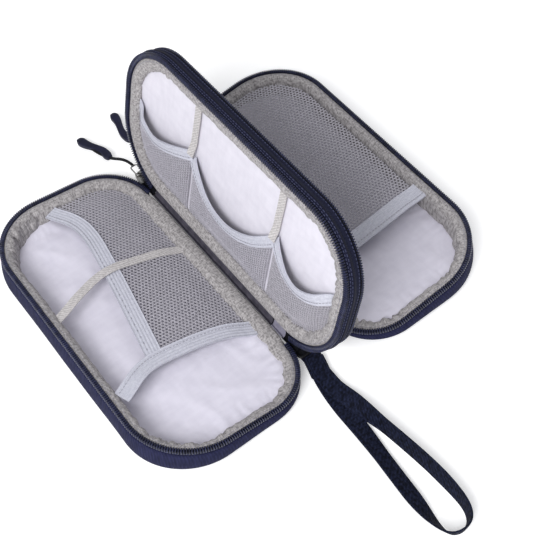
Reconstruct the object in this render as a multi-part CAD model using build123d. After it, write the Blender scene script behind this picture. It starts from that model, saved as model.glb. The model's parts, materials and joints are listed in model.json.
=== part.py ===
from build123d import *
import math
import os

# Soft three-leaf organizer pouch, lying open like a book. Millimetres, +Z up.
# X runs across the leaves (front tray at -X, rear tray at +X), Y along the spine
# (pulls at +Y, wrist strap at -Y), and the floor is z = 0. The origin is at the
# bottom centre of the pouch itself, without its strap and pull cords.

# ---- driving dimensions: leaves -------------------------------------------------
LENGTH = 190.0          # of every rim, along the spine, on the zip's centre line
TRAY_WIDTH = 94.0       # of a tray's rim, from its spine edge to its outer edge
LEAF_WIDTH = 93.0       # of the middle leaf, from its lower edge to its top
OUTER_RADIUS = 36.5     # corners away from the spine
TRAY_SPINE_RADIUS = 28.8
LEAF_SPINE_RADIUS = 38.0
WEDGE_DEG = 7.85        # a tray is shallow at the spine and deep at the zip
RIM_HEIGHT = 8.0        # of a tray's rim above the floor, at the spine
LEAN_DEG = 13.85        # the middle leaf leans towards the rear tray
LEAF_THICKNESS = 11.5
LEAF_CORE_HALF = 0.8    # half the thickness of the leaf's board
LEAF_TAPE_TALL = 1.2
WELT_OUT = 0.8          # of the welt, beyond the leaf's gusset
WELT_BETWEEN = (0.2, 1.4)   # its two sides, from the leaf's middle plane
SPINE_X = -11.95        # where the middle leaf's front chain line meets rim height
SPINE_STRAIGHT = 66.0   # half the straight length of a spine edge

# ---- driving dimensions: layers -------------------------------------------------
COVER_THICK = 1.2
BOARD_THICK = 2.0
LINING_THICK = 0.6
WALL_OUT = 0.9          # outer skin of a wall, beyond the rim's centre line
WALL_IN = -0.7          # inner skin of a wall
CHAIN_HALF = 1.5        # half width of the zip's coil
CHAIN_TALL = 2.4
TAPE_HALF = 0.4
TAPE_TALL = 2.2
BAND_OUT = -1.2         # outer side of the padded band inside a rim
BAND_IN = -8.0
BAND_DROP = 2.6         # from the rim's plane down to the band's top
PIPING_OUT = -0.7
PIPING_IN = -3.0
PIPING_TALL = 2.4
NET_THICK = 0.5
TRAY_NET_LOW = -3.0     # underside of a tray's nets, from the rim's plane
ELASTIC_WIDTH = 9.0
ELASTIC_THICK = 1.0
RIBBON_WIDTH = 5.0
RIBBON_THICK = 0.5
POCKET_CLEAR = 0.5      # between a tray's pockets and its padded band
DEEP, HIGH = -40.0, 10.0    # well below and above a tray, for cutting
BEYOND = 100.0          # well past every edge, for cutting

# ---- driving dimensions: pockets -------------------------------------------------
FRONT_NET_END = 28.0            # the front net ends at the holding band
REAR_MOUTH = -33.0              # the rear net's mouth, along the spine
REAR_ELASTIC_WIDTH = 10.5
LEAF_EDGE_WIDTH = 6.5           # of the elastic round a leaf pocket's mouth
LEAF_POCKET_GAP = 0.3           # from the leaf's zips out to its nets
LEAF_FACE_INSET = -4.0          # of the leaf pockets, inside the rim
LEAF_RIBBON_FROM, LEAF_RIBBON_TO = 52.0, 84.0
LEAF_RIBBON_ALONG = {"far": 33.5, "near": -38.5}
REAR_FACE_MOUTH = 48.0          # the rear face's net ends here, and its elastic begins
REAR_FACE_ELASTIC = 8.0

# ---- driving dimensions: hinges -------------------------------------------------
FRONT_HINGE_GAP = 0.6   # from the front pivot to the front tray's spine edge
CLOSED_GAP = 0.4        # between a closed tray's rim and the middle leaf
REAR_PIVOT_GAP = 15.6   # from the rear pivot to the rear tray's spine edge, open
REAR_TRAVEL = 13.3      # how far the folding gusset lets that edge draw in
ROLL_RADIUS = 1.0
HINGE_CLOTH = 0.8       # thickness of the hinge strips
SPINE_WIDTH = 9.8       # of the panel between the trays
SPINE_END_WIDTH = 17.0  # of its two ends, under the sliders and the strap
SPINE_REACH = 86.0      # half its length
WEB_REACH = 56.0        # half the length of the folded web under the middle leaf
WEB_HALF = 3.0          # half its thickness

# ---- driving dimensions: zip pulls and strap ------------------------------------
SLIDER_SIZE = (7.4, 9.0, 3.2)
FRONT_SLIDER_AT = (-9.6, 80.0)
REAR_SLIDER_AT = (2.5, 83.0)
SLIDER_BOTTOM = 1.4
SLIDER_CORNER = 1.6
BRIDGE_SIZE = (2.0, 5.0, 2.4)
BRIDGE_AHEAD = 1.5      # from a slider's middle to its bridge's
SLOT_SIZE = (4.0, 2.2, 1.7)     # of the slot under the bridge
BAIL_SIZE = (5.4, 9.0, 1.0)     # the last is the wire's thickness
BAIL_AHEAD = 1.4        # from a slider's middle to its bail's wire
BAIL_CLEAR = 0.4        # from a slider's top to its bail
CORD_DIAMETER = 1.8
GRIP_LENGTH = 26.0
GRIP_WIDTH = 7.4
GRIP_TALL = 6.4
GRIP_CORNER = 2.6
GRIP_FROM = 3           # the route's point that a grip starts at
GRIP_AHEAD = 1.5        # from that point to the grip
STRAP_WIDTH = 10.0
STRAP_THICK = 1.4
STRAP_RING_Y = (-75.8, -66.6)   # the ring's two outer sides
RING_BAR = 1.6
STRAP_TAB_END = -57.0

FRONT_PULL_ROUTE = [
    (-9.6, 90.2, 5.4),
    (-10.0, 94.5, 5.2),
    (-12.2, 99.5, 4.5),
    (-16.0, 103.8, 3.9),
    (-19.2, 110.5, 3.7),
    (-21.6, 119.5, 3.7),
    (-22.6, 129.5, 3.7),
]
REAR_PULL_ROUTE = [
    (2.5, 93.2, 5.4),
    (2.6, 97.5, 5.1),
    (1.6, 102.0, 4.4),
    (0.7, 107.0, 3.9),
    (0.7, 114.0, 3.7),
    (1.4, 122.5, 3.7),
    (2.2, 131.0, 3.7),
]
STRAP_ROUTE = [
    (-6.2, -76.8, 2.4),
    (-7.2, -83.5, 2.3),
    (-11.4, -94.5, 1.6),
    (-16.0, -109.0, 0.9),
    (-20.0, -126.0, 0.9),
    (-22.6, -143.5, 0.9),
    (-23.2, -160.5, 1.2),
    (-22.2, -175.5, 1.9),
    (-20.2, -187.4, 2.8),
    (-16.2, -193.3, 3.4),
    (-9.6, -195.6, 3.8),
    (-3.0, -193.6, 3.8),
    (1.0, -188.0, 3.6),
    (2.3, -176.5, 3.1),
    (1.6, -161.5, 2.6),
    (-0.9, -144.0, 2.3),
    (-5.0, -126.0, 2.3),
    (-9.8, -109.0, 2.3),
]

# ---- places worked out from the dimensions --------------------------------------
wedge = math.radians(WEDGE_DEG)
lean = math.radians(LEAN_DEG)
leaf_up = Vector(math.sin(lean), 0, math.cos(lean))
leaf_rearward = Vector(math.cos(lean), 0, -math.sin(lean))
FRONT_CHAIN_TO_MIDDLE = 4.65    # from SPINE_X's line to the leaf's middle plane
leaf_middle = Vector(SPINE_X, 0, RIM_HEIGHT) + leaf_rearward * FRONT_CHAIN_TO_MIDDLE
leaf_half = LEAF_THICKNESS / 2
leaf_rise = 0.6                 # the middle leaf's lower edge above rim height


def on_leaf_plane(offset, height):
    """The point of the leaf's section at an offset rearward of its middle plane and a world height."""
    base = leaf_middle + leaf_rearward * offset
    climb = (height - base.Z) / leaf_up.Z
    return base + leaf_up * climb


front_pivot = on_leaf_plane(-leaf_half - CLOSED_GAP, RIM_HEIGHT)
rear_pivot = on_leaf_plane(leaf_half + CLOSED_GAP, RIM_HEIGHT - REAR_PIVOT_GAP * math.sin(wedge))
front_out = Vector(-math.cos(wedge), 0, math.sin(wedge))
rear_out = Vector(math.cos(wedge), 0, math.sin(wedge))
front_place = Plane(
    origin=front_pivot + front_out * FRONT_HINGE_GAP,
    x_dir=front_out,
    z_dir=(math.sin(wedge), 0, math.cos(wedge)),
).location
rear_place = Plane(
    origin=rear_pivot + rear_out * REAR_PIVOT_GAP,
    x_dir=rear_out,
    z_dir=(-math.sin(wedge), 0, math.cos(wedge)),
).location
# Local z points out of the leaf's front face, and local y is the world's Y.
leaf_place = Plane(
    origin=leaf_middle + leaf_up * leaf_rise,
    x_dir=leaf_up,
    z_dir=leaf_rearward * -1,
).location

parts = {}


# ---- outlines and layers --------------------------------------------------------
def outline(width, spine_radius, grow=0.0):
    """The face inside a rim, its edge moved outward by grow; x leads away from the spine."""
    half = LENGTH / 2 + grow
    near, far = -grow, width + grow
    outer, inner = OUTER_RADIUS + grow, spine_radius + grow
    edges = [
        Line((near + inner, -half), (far - outer, -half)),
        CenterArc((far - outer, -half + outer), outer, -90, 90),
        Line((far, -half + outer), (far, half - outer)),
        CenterArc((far - outer, half - outer), outer, 0, 90),
        Line((far - outer, half), (near + inner, half)),
        CenterArc((near + inner, half - inner), inner, 90, 90),
        Line((near, half - inner), (near, -half + inner)),
        CenterArc((near + inner, -half + inner), inner, 180, 90),
    ]
    return make_face(edges)


def layer(face, low, high):
    """A flat layer between two local heights."""
    return Pos(0, 0, low) * extrude(face, high - low)


def ring(width, spine_radius, out, into, low, high):
    """A band that follows a rim, between two offsets from it and two local heights."""
    inside = outline(width, spine_radius, into)
    return layer(outline(width, spine_radius, out), low, high) - layer(inside, low, high)


def block(x, y, z):
    """A box from its ranges along x, y and z."""
    low, high = zip(x, y, z)
    size = [b - a for a, b in zip(low, high)]
    return Pos(*low) * Box(*size, align=(Align.MIN, Align.MIN, Align.MIN))


def above_floor(low, high=120.0):
    """Everything between two world heights."""
    return block((-200, 200), (-200, 200), (low, high))


spine_side = block((-6, 9), (-SPINE_STRAIGHT, SPINE_STRAIGHT), (-30, 30))


def zip_ring(width, spine_radius, half, low, high):
    """A ring of zip tape or coil, open along the spine."""
    return ring(width, spine_radius, half, -half, low, high) - spine_side


def curved_strip(centre_points, width, low, high, shift_axis):
    """A flat strip whose centre line is a smooth curve, widened along one local axis."""
    step = Vector(width / 2, 0) if shift_axis == "x" else Vector(0, width / 2)
    sides = [Spline(*[Vector(*p) + step * s for p in centre_points]) for s in (1, -1)]
    ends = [Line(sides[0] @ t, sides[1] @ t) for t in (0, 1)]
    return layer(make_face([*sides, *ends]), low, high)


# ---- trays ----------------------------------------------------------------------
def tray_shell(name, place):
    """The cover, board, wall, padded band, piping and zip half that both trays have."""
    rim = (TRAY_WIDTH, TRAY_SPINE_RADIUS)
    board_top = COVER_THICK + BOARD_THICK
    lining_top = board_top + LINING_THICK
    panel = place * layer(outline(*rim, PIPING_IN), DEEP, HIGH)
    parts[f"{name}_cover"] = panel & above_floor(0, COVER_THICK)
    parts[f"{name}_board"] = panel & above_floor(COVER_THICK, board_top)
    parts[f"{name}_lining"] = panel & above_floor(board_top, lining_top)
    piping = place * ring(*rim, PIPING_OUT, PIPING_IN, DEEP, HIGH)
    parts[f"{name}_piping"] = piping & above_floor(0, PIPING_TALL)
    tape_low = -CHAIN_TALL - TAPE_TALL
    wall = ring(*rim, WALL_OUT, WALL_IN, DEEP, tape_low)
    wall += ring(*rim, WALL_OUT, WALL_IN, tape_low, -BAND_DROP) & spine_side
    parts[f"{name}_wall"] = place * wall & above_floor(0)
    band = ring(*rim, BAND_OUT, BAND_IN, DEEP, -BAND_DROP)
    parts[f"{name}_band"] = place * band & above_floor(lining_top)
    parts[f"{name}_tape"] = place * zip_ring(*rim, TAPE_HALF, tape_low, -CHAIN_TALL)
    parts[f"{name}_chain"] = place * zip_ring(*rim, CHAIN_HALF, -CHAIN_TALL, 0)


def front_tray():
    """The front tray, whose net pocket opens towards the zip, with a holding band and a divider ribbon."""
    tray_shell("front", front_place)
    floor = outline(TRAY_WIDTH, TRAY_SPINE_RADIUS, BAND_IN - POCKET_CLEAR)
    room = layer(floor, DEEP, HIGH)
    edge = [(53.5, -86), (44.5, -64), (48.0, -30), (57.5, 24)]    # local y is minus the world's Y
    net = layer(floor, TRAY_NET_LOW, TRAY_NET_LOW + NET_THICK)
    net &= block((0, BEYOND), (-BEYOND, FRONT_NET_END), (DEEP, HIGH))
    strip_low = TRAY_NET_LOW - 0.1
    strip_top = strip_low + ELASTIC_THICK
    edge_strip = curved_strip(edge, ELASTIC_WIDTH, strip_low, strip_top, "x")
    # What lies beyond the elastic's centre line is open lining.
    beyond = Pos(BEYOND / 2, 0, 0) * curved_strip(edge, BEYOND, DEEP, HIGH, "x")
    parts["front_net"] = front_place * (net - beyond - edge_strip)
    parts["front_net_elastic"] = front_place * (edge_strip & room)
    arch = [(6, 47), (24, 39.5), (46, 35.5), (67, 35), (88, 44)]
    holder = curved_strip(arch, ELASTIC_WIDTH, strip_low, strip_top, "y")
    parts["front_holder"] = front_place * (holder & room)
    ribbon_path = [(4, -20), (25, -26), (55, -29), (90, -17)]
    ribbon_low = strip_top + 0.1
    ribbon = curved_strip(ribbon_path, RIBBON_WIDTH, ribbon_low, ribbon_low + RIBBON_THICK, "y")
    parts["front_ribbon"] = front_place * (ribbon & room)


def rear_tray():
    """The rear tray, whose net pocket covers its far part and ends in a straight elastic."""
    tray_shell("rear", rear_place)
    floor = outline(TRAY_WIDTH, TRAY_SPINE_RADIUS, BAND_IN - POCKET_CLEAR)
    far_part = block((0, BEYOND), (REAR_MOUTH, BEYOND), (DEEP, HIGH))
    net = layer(floor, TRAY_NET_LOW, TRAY_NET_LOW + NET_THICK)
    parts["rear_net"] = rear_place * (net & far_part)
    strip_low = TRAY_NET_LOW - 0.1
    elastic = layer(floor, strip_low, strip_low + ELASTIC_THICK)
    elastic &= block((0, BEYOND), (REAR_MOUTH - REAR_ELASTIC_WIDTH, REAR_MOUTH), (DEEP, HIGH))
    parts["rear_net_elastic"] = rear_place * elastic


# ---- middle leaf ----------------------------------------------------------------
def middle_leaf():
    """The stiff leaf between the trays, with a zip half and a padded recess on each face."""
    rim = (LEAF_WIDTH, LEAF_SPINE_RADIUS)
    lining_top = LEAF_CORE_HALF + LINING_THICK
    gusset_half = leaf_half - CHAIN_TALL - LEAF_TAPE_TALL
    inner_edge = WALL_IN - 0.2
    parts["leaf_board"] = leaf_place * layer(outline(*rim, inner_edge), -LEAF_CORE_HALF, LEAF_CORE_HALF)
    parts["leaf_gusset"] = leaf_place * ring(*rim, WALL_OUT, WALL_IN, -gusset_half, gusset_half)
    parts["leaf_welt"] = leaf_place * ring(*rim, WALL_OUT + WELT_OUT, WALL_OUT, *WELT_BETWEEN)
    for side, name in ((1, "leaf_front"), (-1, "leaf_rear")):
        flip = leaf_place if side == 1 else leaf_place * Rot(X=180)
        parts[f"{name}_lining"] = flip * layer(outline(*rim, inner_edge), LEAF_CORE_HALF, lining_top)
        band_top = leaf_half - 0.6
        band_out = -CHAIN_HALF - 0.1
        parts[f"{name}_band"] = flip * ring(*rim, band_out, BAND_IN, lining_top, band_top)
        tape = zip_ring(*rim, TAPE_HALF, gusset_half, leaf_half - CHAIN_TALL)
        parts[f"{name}_tape"] = flip * tape
        parts[f"{name}_chain"] = flip * zip_ring(*rim, CHAIN_HALF, leaf_half - CHAIN_TALL, leaf_half)


def leaf_pockets():
    """Three net pockets side by side on the front face, and one wide net pocket on the rear face."""
    face = outline(LEAF_WIDTH, LEAF_SPINE_RADIUS, LEAF_FACE_INSET)
    net_low = leaf_half + LEAF_POCKET_GAP
    net_top = net_low + NET_THICK - 0.1
    elastic_top = net_low + ELASTIC_THICK - 0.1
    below = -5.0
    # Each mouth is an arc: its two ends and its lowest point.
    mouths = {
        "far": [(54, 90), (45, 64), (53, 35)],
        "middle": [(51, 32), (35, -2), (51, -37)],
        "near": [(55, -40), (42, -62), (57, -90)],
    }
    for name, points in mouths.items():
        arc = ThreePointArc(*points)
        corners = [arc @ 1, (below, (arc @ 1).Y), (below, (arc @ 0).Y), arc @ 0]
        patch = make_face([arc, *[Line(a, b) for a, b in zip(corners, corners[1:])]]) & face
        strip = patch - Pos(-LEAF_EDGE_WIDTH, 0, 0) * patch
        parts[f"pocket_net_{name}"] = leaf_place * layer(patch - strip, net_low, net_top)
        parts[f"pocket_elastic_{name}"] = leaf_place * layer(strip, net_low, elastic_top)
    ribbon_low = LEAF_CORE_HALF + LINING_THICK
    for name, y in LEAF_RIBBON_ALONG.items():
        along = (y - RIBBON_WIDTH / 2, y + RIBBON_WIDTH / 2)
        ribbon = block((LEAF_RIBBON_FROM, LEAF_RIBBON_TO), along, (ribbon_low, ribbon_low + LINING_THICK))
        parts[f"pocket_ribbon_{name}"] = leaf_place * ribbon
    flip = leaf_place * Rot(X=180)
    net = layer(face, net_low, net_top) & block((0, REAR_FACE_MOUTH), (-BEYOND, BEYOND), (0, BEYOND))
    parts["pocket_net_rear"] = flip * net
    edge = (REAR_FACE_MOUTH, REAR_FACE_MOUTH + REAR_FACE_ELASTIC)
    elastic = layer(face, net_low, elastic_top) & block(edge, (-BEYOND, BEYOND), (0, BEYOND))
    parts["pocket_elastic_rear"] = flip * elastic


# ---- spine ----------------------------------------------------------------------
def spine():
    """The strip that the pouch stands on between its trays, and the fabric hinges."""
    left = SPINE_X + 0.2
    full = (-SPINE_REACH, SPINE_REACH)
    panel = block((left, left + SPINE_WIDTH), full, (0, COVER_THICK))
    for y in ((SPINE_STRAIGHT + 2, SPINE_REACH), (-SPINE_REACH, -SPINE_STRAIGHT - 2)):
        panel += block((left, left + SPINE_END_WIDTH), y, (0, COVER_THICK))
    parts["spine_panel"] = panel
    web_span = (-WEB_REACH, WEB_REACH)
    web = leaf_place * block((-12, -1.8), web_span, (-WEB_HALF, WEB_HALF))
    parts["spine_web"] = web & above_floor(COVER_THICK)
    strip_low = WEB_HALF + 0.1
    strip = block((-4.4, 1.5), web_span, (strip_low, strip_low + HINGE_CLOTH))
    parts["front_hinge_strip"] = leaf_place * strip
    roll = Rot(X=90) * Cylinder(ROLL_RADIUS, 2 * SPINE_STRAIGHT - 4)
    parts["rear_hinge_roll"] = Pos(*rear_pivot) * roll
    gusset_start = ROLL_RADIUS + 0.3
    gusset_end = REAR_PIVOT_GAP - WALL_OUT - 0.3
    gusset = block((gusset_start, gusset_end), (-62, 62), (-2 * HINGE_CLOTH, -HINGE_CLOTH))
    parts["rear_gusset_strip"] = Pos(*rear_pivot) * Rot(Y=-WEDGE_DEG) * gusset


# ---- zip sliders and pulls ------------------------------------------------------
def cord_path(route):
    """Straight runs joined by tangent arcs, each as large as its two runs allow."""
    points = [Vector(*p) for p in route]
    radii = []
    for before, at, after in zip(points, points[1:], points[2:]):
        turn = math.radians((at - before).get_angle(after - at))
        shorter = min((at - before).length, (after - at).length)
        radii.append(0.45 * shorter / math.tan(turn / 2))
    print("   radii", [round(r, 1) for r in radii])
    return FilletPolyline(*points, radius=radii)


def report_cord(name, shape, section, path):
    """Print how a cord's volume compares with its section times its length."""
    share = shape.volume / (section * path.length)
    print(f"   {name}: length {path.length:.1f}, volume share {share:.3f}")


def slider(name, at):
    """A zip slider: its body, with a bridge on top that holds the pull's bail."""
    x, y = at
    wide, long, tall = SLIDER_SIZE
    top = SLIDER_BOTTOM + tall
    body = Pos(x, y, SLIDER_BOTTOM + tall / 2) * Box(wide, long, tall)
    body = fillet(body.edges().filter_by(Axis.Z), SLIDER_CORNER)
    bridge_tall = BRIDGE_SIZE[2]
    bridge = Pos(x, y + BRIDGE_AHEAD, top + bridge_tall / 2) * Box(*BRIDGE_SIZE)
    slot = Pos(x, y + BAIL_AHEAD, top + SLOT_SIZE[2] / 2 + 0.1) * Box(*SLOT_SIZE)
    parts[f"{name}_slider"] = body + (bridge - slot)


def bail(name, at):
    """The wire loop between a slider's bridge and its pull cord."""
    x, y = at
    wide, long, wire = BAIL_SIZE
    lowest = SLIDER_BOTTOM + SLIDER_SIZE[2] + BAIL_CLEAR
    middle = (x, y + BAIL_AHEAD - wire / 2 + long / 2, lowest + wire / 2)
    loop = Pos(*middle) * Box(wide, long, wire)
    loop = fillet(loop.edges().filter_by(Axis.Z), 1.2 * wire)
    parts[f"{name}_bail"] = loop - Pos(*middle) * Box(wide - 2 * wire, long - 2 * wire, 2 * wire)


def pull(name, route):
    """A pull cord and the soft grip moulded round its end."""
    path = cord_path(route)
    section = Circle(CORD_DIAMETER / 2)
    cord = sweep(Plane(origin=path @ 0, z_dir=path % 0) * section, path=path)
    report_cord(f"{name} pull cord", cord, section.area, path)
    parts[f"{name}_pull_cord"] = cord
    tail = Vector(*route[-1])
    root = Vector(*route[GRIP_FROM])
    along = tail - root
    start = root + along.normalized() * GRIP_AHEAD
    place = Plane(origin=start, x_dir=along.cross(Vector(0, 0, 1)), z_dir=along)
    blank = RectangleRounded(GRIP_WIDTH, GRIP_TALL, GRIP_CORNER)
    grip = place.location * extrude(blank, GRIP_LENGTH)
    bore = Circle(CORD_DIAMETER / 2 + 0.1)
    channel = sweep(Plane(origin=path @ 0, z_dir=path % 0) * bore, path=path)
    parts[f"{name}_grip"] = grip - channel


def strap():
    """The wrist strap's loop of flat webbing, the tab that anchors it and the ring between them."""
    x = STRAP_ROUTE[0][0]
    near, far = STRAP_RING_Y
    half = STRAP_WIDTH / 2
    bottom = COVER_THICK + 0.1
    parts["strap_tab"] = block((x - half, x + half), (far + 0.2, STRAP_TAB_END), (bottom, bottom + RING_BAR))
    outer = block((x - half - 1.5, x + half + 1.5), (near, far), (bottom, bottom + RING_BAR + 0.2))
    hole = block((x - half, x + half), (near + RING_BAR, far - RING_BAR), (0, HIGH))
    parts["strap_ring"] = outer - hole
    path = cord_path(STRAP_ROUTE)
    flat = Rectangle(STRAP_THICK, STRAP_WIDTH)
    start = path % 0
    across = start.cross(Vector(0, 0, 1))
    place = Plane(origin=path @ 0, x_dir=across.cross(start), z_dir=start)
    webbing = sweep(place * flat, path=path)
    report_cord("strap", webbing, flat.area, path)
    parts["strap"] = webbing


front_tray()
rear_tray()
middle_leaf()
leaf_pockets()
spine()
for pull_name, place_at, pull_route in (
    ("front", FRONT_SLIDER_AT, FRONT_PULL_ROUTE),
    ("rear", REAR_SLIDER_AT, REAR_PULL_ROUTE),
):
    slider(pull_name, place_at)
    bail(pull_name, place_at)
    pull(pull_name, pull_route)
strap()

CORDS = ("strap", "front_pull_cord", "rear_pull_cord", "front_grip", "rear_grip")
boxes = [shape.bounding_box() for node, shape in parts.items() if node not in CORDS]
for axis in "XYZ":
    low = min(getattr(box.min, axis) for box in boxes)
    high = max(getattr(box.max, axis) for box in boxes)
    print(f"pouch {axis} from {low:.3f} to {high:.3f}")
print("front pivot", front_pivot, "rear pivot", rear_pivot)
os.makedirs("parts", exist_ok=True)
for node, shape in parts.items():
    export_step(shape, f"parts/{node}.step")
print(len(parts), "nodes")
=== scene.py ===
"""An open cable organizer pouch: two zipped trays, a middle leaf with pockets, pulls and a wrist strap.

Sizes inside the classes are millimetres, in each leaf's own frame: x leads away from the spine, y runs
along it, and z points out of the leaf's open side. Finished pieces are in metres in the shared frame.
"""

import json
import logging
import math
from dataclasses import dataclass
from enum import Enum
from functools import cached_property
from typing import Callable, NamedTuple, Sequence

import bmesh
import bpy
from mathutils import Matrix, Vector, noise


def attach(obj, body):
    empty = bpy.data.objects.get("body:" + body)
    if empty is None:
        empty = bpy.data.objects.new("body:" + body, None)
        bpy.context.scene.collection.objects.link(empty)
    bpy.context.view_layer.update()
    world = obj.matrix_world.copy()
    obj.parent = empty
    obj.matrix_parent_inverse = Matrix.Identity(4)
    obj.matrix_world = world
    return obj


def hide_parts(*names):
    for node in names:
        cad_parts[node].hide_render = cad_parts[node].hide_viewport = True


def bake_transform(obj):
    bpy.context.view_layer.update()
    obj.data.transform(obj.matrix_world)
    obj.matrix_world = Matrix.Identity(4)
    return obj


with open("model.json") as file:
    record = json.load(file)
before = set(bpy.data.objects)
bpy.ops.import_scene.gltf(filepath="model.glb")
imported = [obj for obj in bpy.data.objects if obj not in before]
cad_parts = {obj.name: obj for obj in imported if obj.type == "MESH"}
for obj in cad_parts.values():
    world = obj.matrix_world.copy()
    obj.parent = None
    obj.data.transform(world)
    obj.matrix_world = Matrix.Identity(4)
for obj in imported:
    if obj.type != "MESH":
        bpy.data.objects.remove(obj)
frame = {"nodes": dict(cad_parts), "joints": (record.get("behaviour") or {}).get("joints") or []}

log = logging.getLogger("pouch")
MM = 0.001
WEDGE = math.radians(7.85)
LEAN = math.radians(13.85)
TURN = 2 * math.pi

Bend = Callable[[Vector, "Station", float, float], Vector]
Depth = Callable[[Vector], float]
Height = Callable[[float, float], float]
Inside = Callable[[float, float], bool]
Section = Sequence[tuple[float, float, float]]


# ---- small numbers ---------------------------------------------------------------------------


def mix(a: float, b: float, share: float) -> float:
    """The number a share of the way from a to b."""
    return a + (b - a) * share


def ease(low: float, high: float, value: float) -> float:
    """A smooth step from 0 at low to 1 at high."""
    share = min(1.0, max(0.0, (value - low) / (high - low)))
    return share * share * (3 - 2 * share)


def hum(x: float, y: float = 0.0, seed: float = 0.0) -> float:
    """Smooth noise from about -1 to 1, the same on every run."""
    return noise.noise(Vector((x, y, seed)))


def crease(x: float, y: float, seed: float) -> float:
    """Ridged noise from 0 to 1, highest along thin lines."""
    return 1.0 - min(1.0, abs(hum(x, y, seed)) * 3.2)


def rumple(run: float, girth: float, seed: float, amount: float) -> float:
    """How a padded band bunches along its run: swells, crumples, gathered folds and sharp pinches."""
    broad = hum(run * 0.13, girth * 0.1, seed + 1)
    crumple = hum(run * 0.4, girth * 0.26, seed + 3)
    gathered = ease(-0.1, 0.5, hum(run * 0.045, 5.0, seed))
    gather = math.sin(run * 0.8 + 4.0 * hum(run * 0.08, 0, seed)) * gathered
    pinch = ease(0.55, 1.0, crease(run * 0.09 + girth * 0.05, girth * 0.12, seed + 9))
    drift = 0.3 * hum(run * 0.06, 0, seed)
    return amount * (0.8 * broad + 0.8 * crumple + 0.45 * gather - 1.1 * pinch) + drift


# ---- frames and outlines ----------------------------------------------------------------------


@dataclass(frozen=True)
class Placement:
    """Where a leaf's own millimetre frame stands in the shared frame."""

    origin: Vector
    along: Vector
    out: Vector

    def matrix(self) -> Matrix:
        """The millimetre frame as a matrix into metres."""
        axes = [self.along, self.out.cross(self.along), self.out]
        turned = Matrix([list(axis) for axis in axes]).transposed().to_4x4()
        return Matrix.Translation(self.origin) @ turned @ Matrix.Scale(MM, 4)

    def flipped(self) -> "Placement":
        """The same leaf seen from its other face."""
        return Placement(self.origin, self.along, -self.out)


def joint_at(name: str) -> Vector:
    """The place of a joint of the record, in metres."""
    return Vector(next(j for j in frame["joints"] if j["name"] == name)["pos_m"])


FRONT_OUT = Vector((-math.cos(WEDGE), 0, math.sin(WEDGE)))
REAR_OUT = Vector((math.cos(WEDGE), 0, math.sin(WEDGE)))
LEAF_UP = Vector((math.sin(LEAN), 0, math.cos(LEAN)))
LEAF_BACK = Vector((math.cos(LEAN), 0, -math.sin(LEAN)))
FRONT_PLACE = Placement(
    joint_at("front_tray_hinge") + FRONT_OUT * 0.6 * MM,
    FRONT_OUT,
    Vector((math.sin(WEDGE), 0, math.cos(WEDGE))),
)
REAR_PLACE = Placement(
    joint_at("rear_tray_hinge") + REAR_OUT * 15.6 * MM,
    REAR_OUT,
    Vector((-math.sin(WEDGE), 0, math.cos(WEDGE))),
)
LEAF_PLACE = Placement(
    joint_at("front_tray_hinge") + (LEAF_BACK * 6.15 + LEAF_UP * 0.97) * MM,
    LEAF_UP,
    -LEAF_BACK,
)
WORLD_PLACE = Placement(Vector((0, 0, 0)), Vector((1, 0, 0)), Vector((0, 0, 1)))


class Station(NamedTuple):
    """A stop of a profile on its way: its place, its two directions and the way gone so far."""

    at: Vector
    side: Vector
    up: Vector
    run: float


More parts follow.
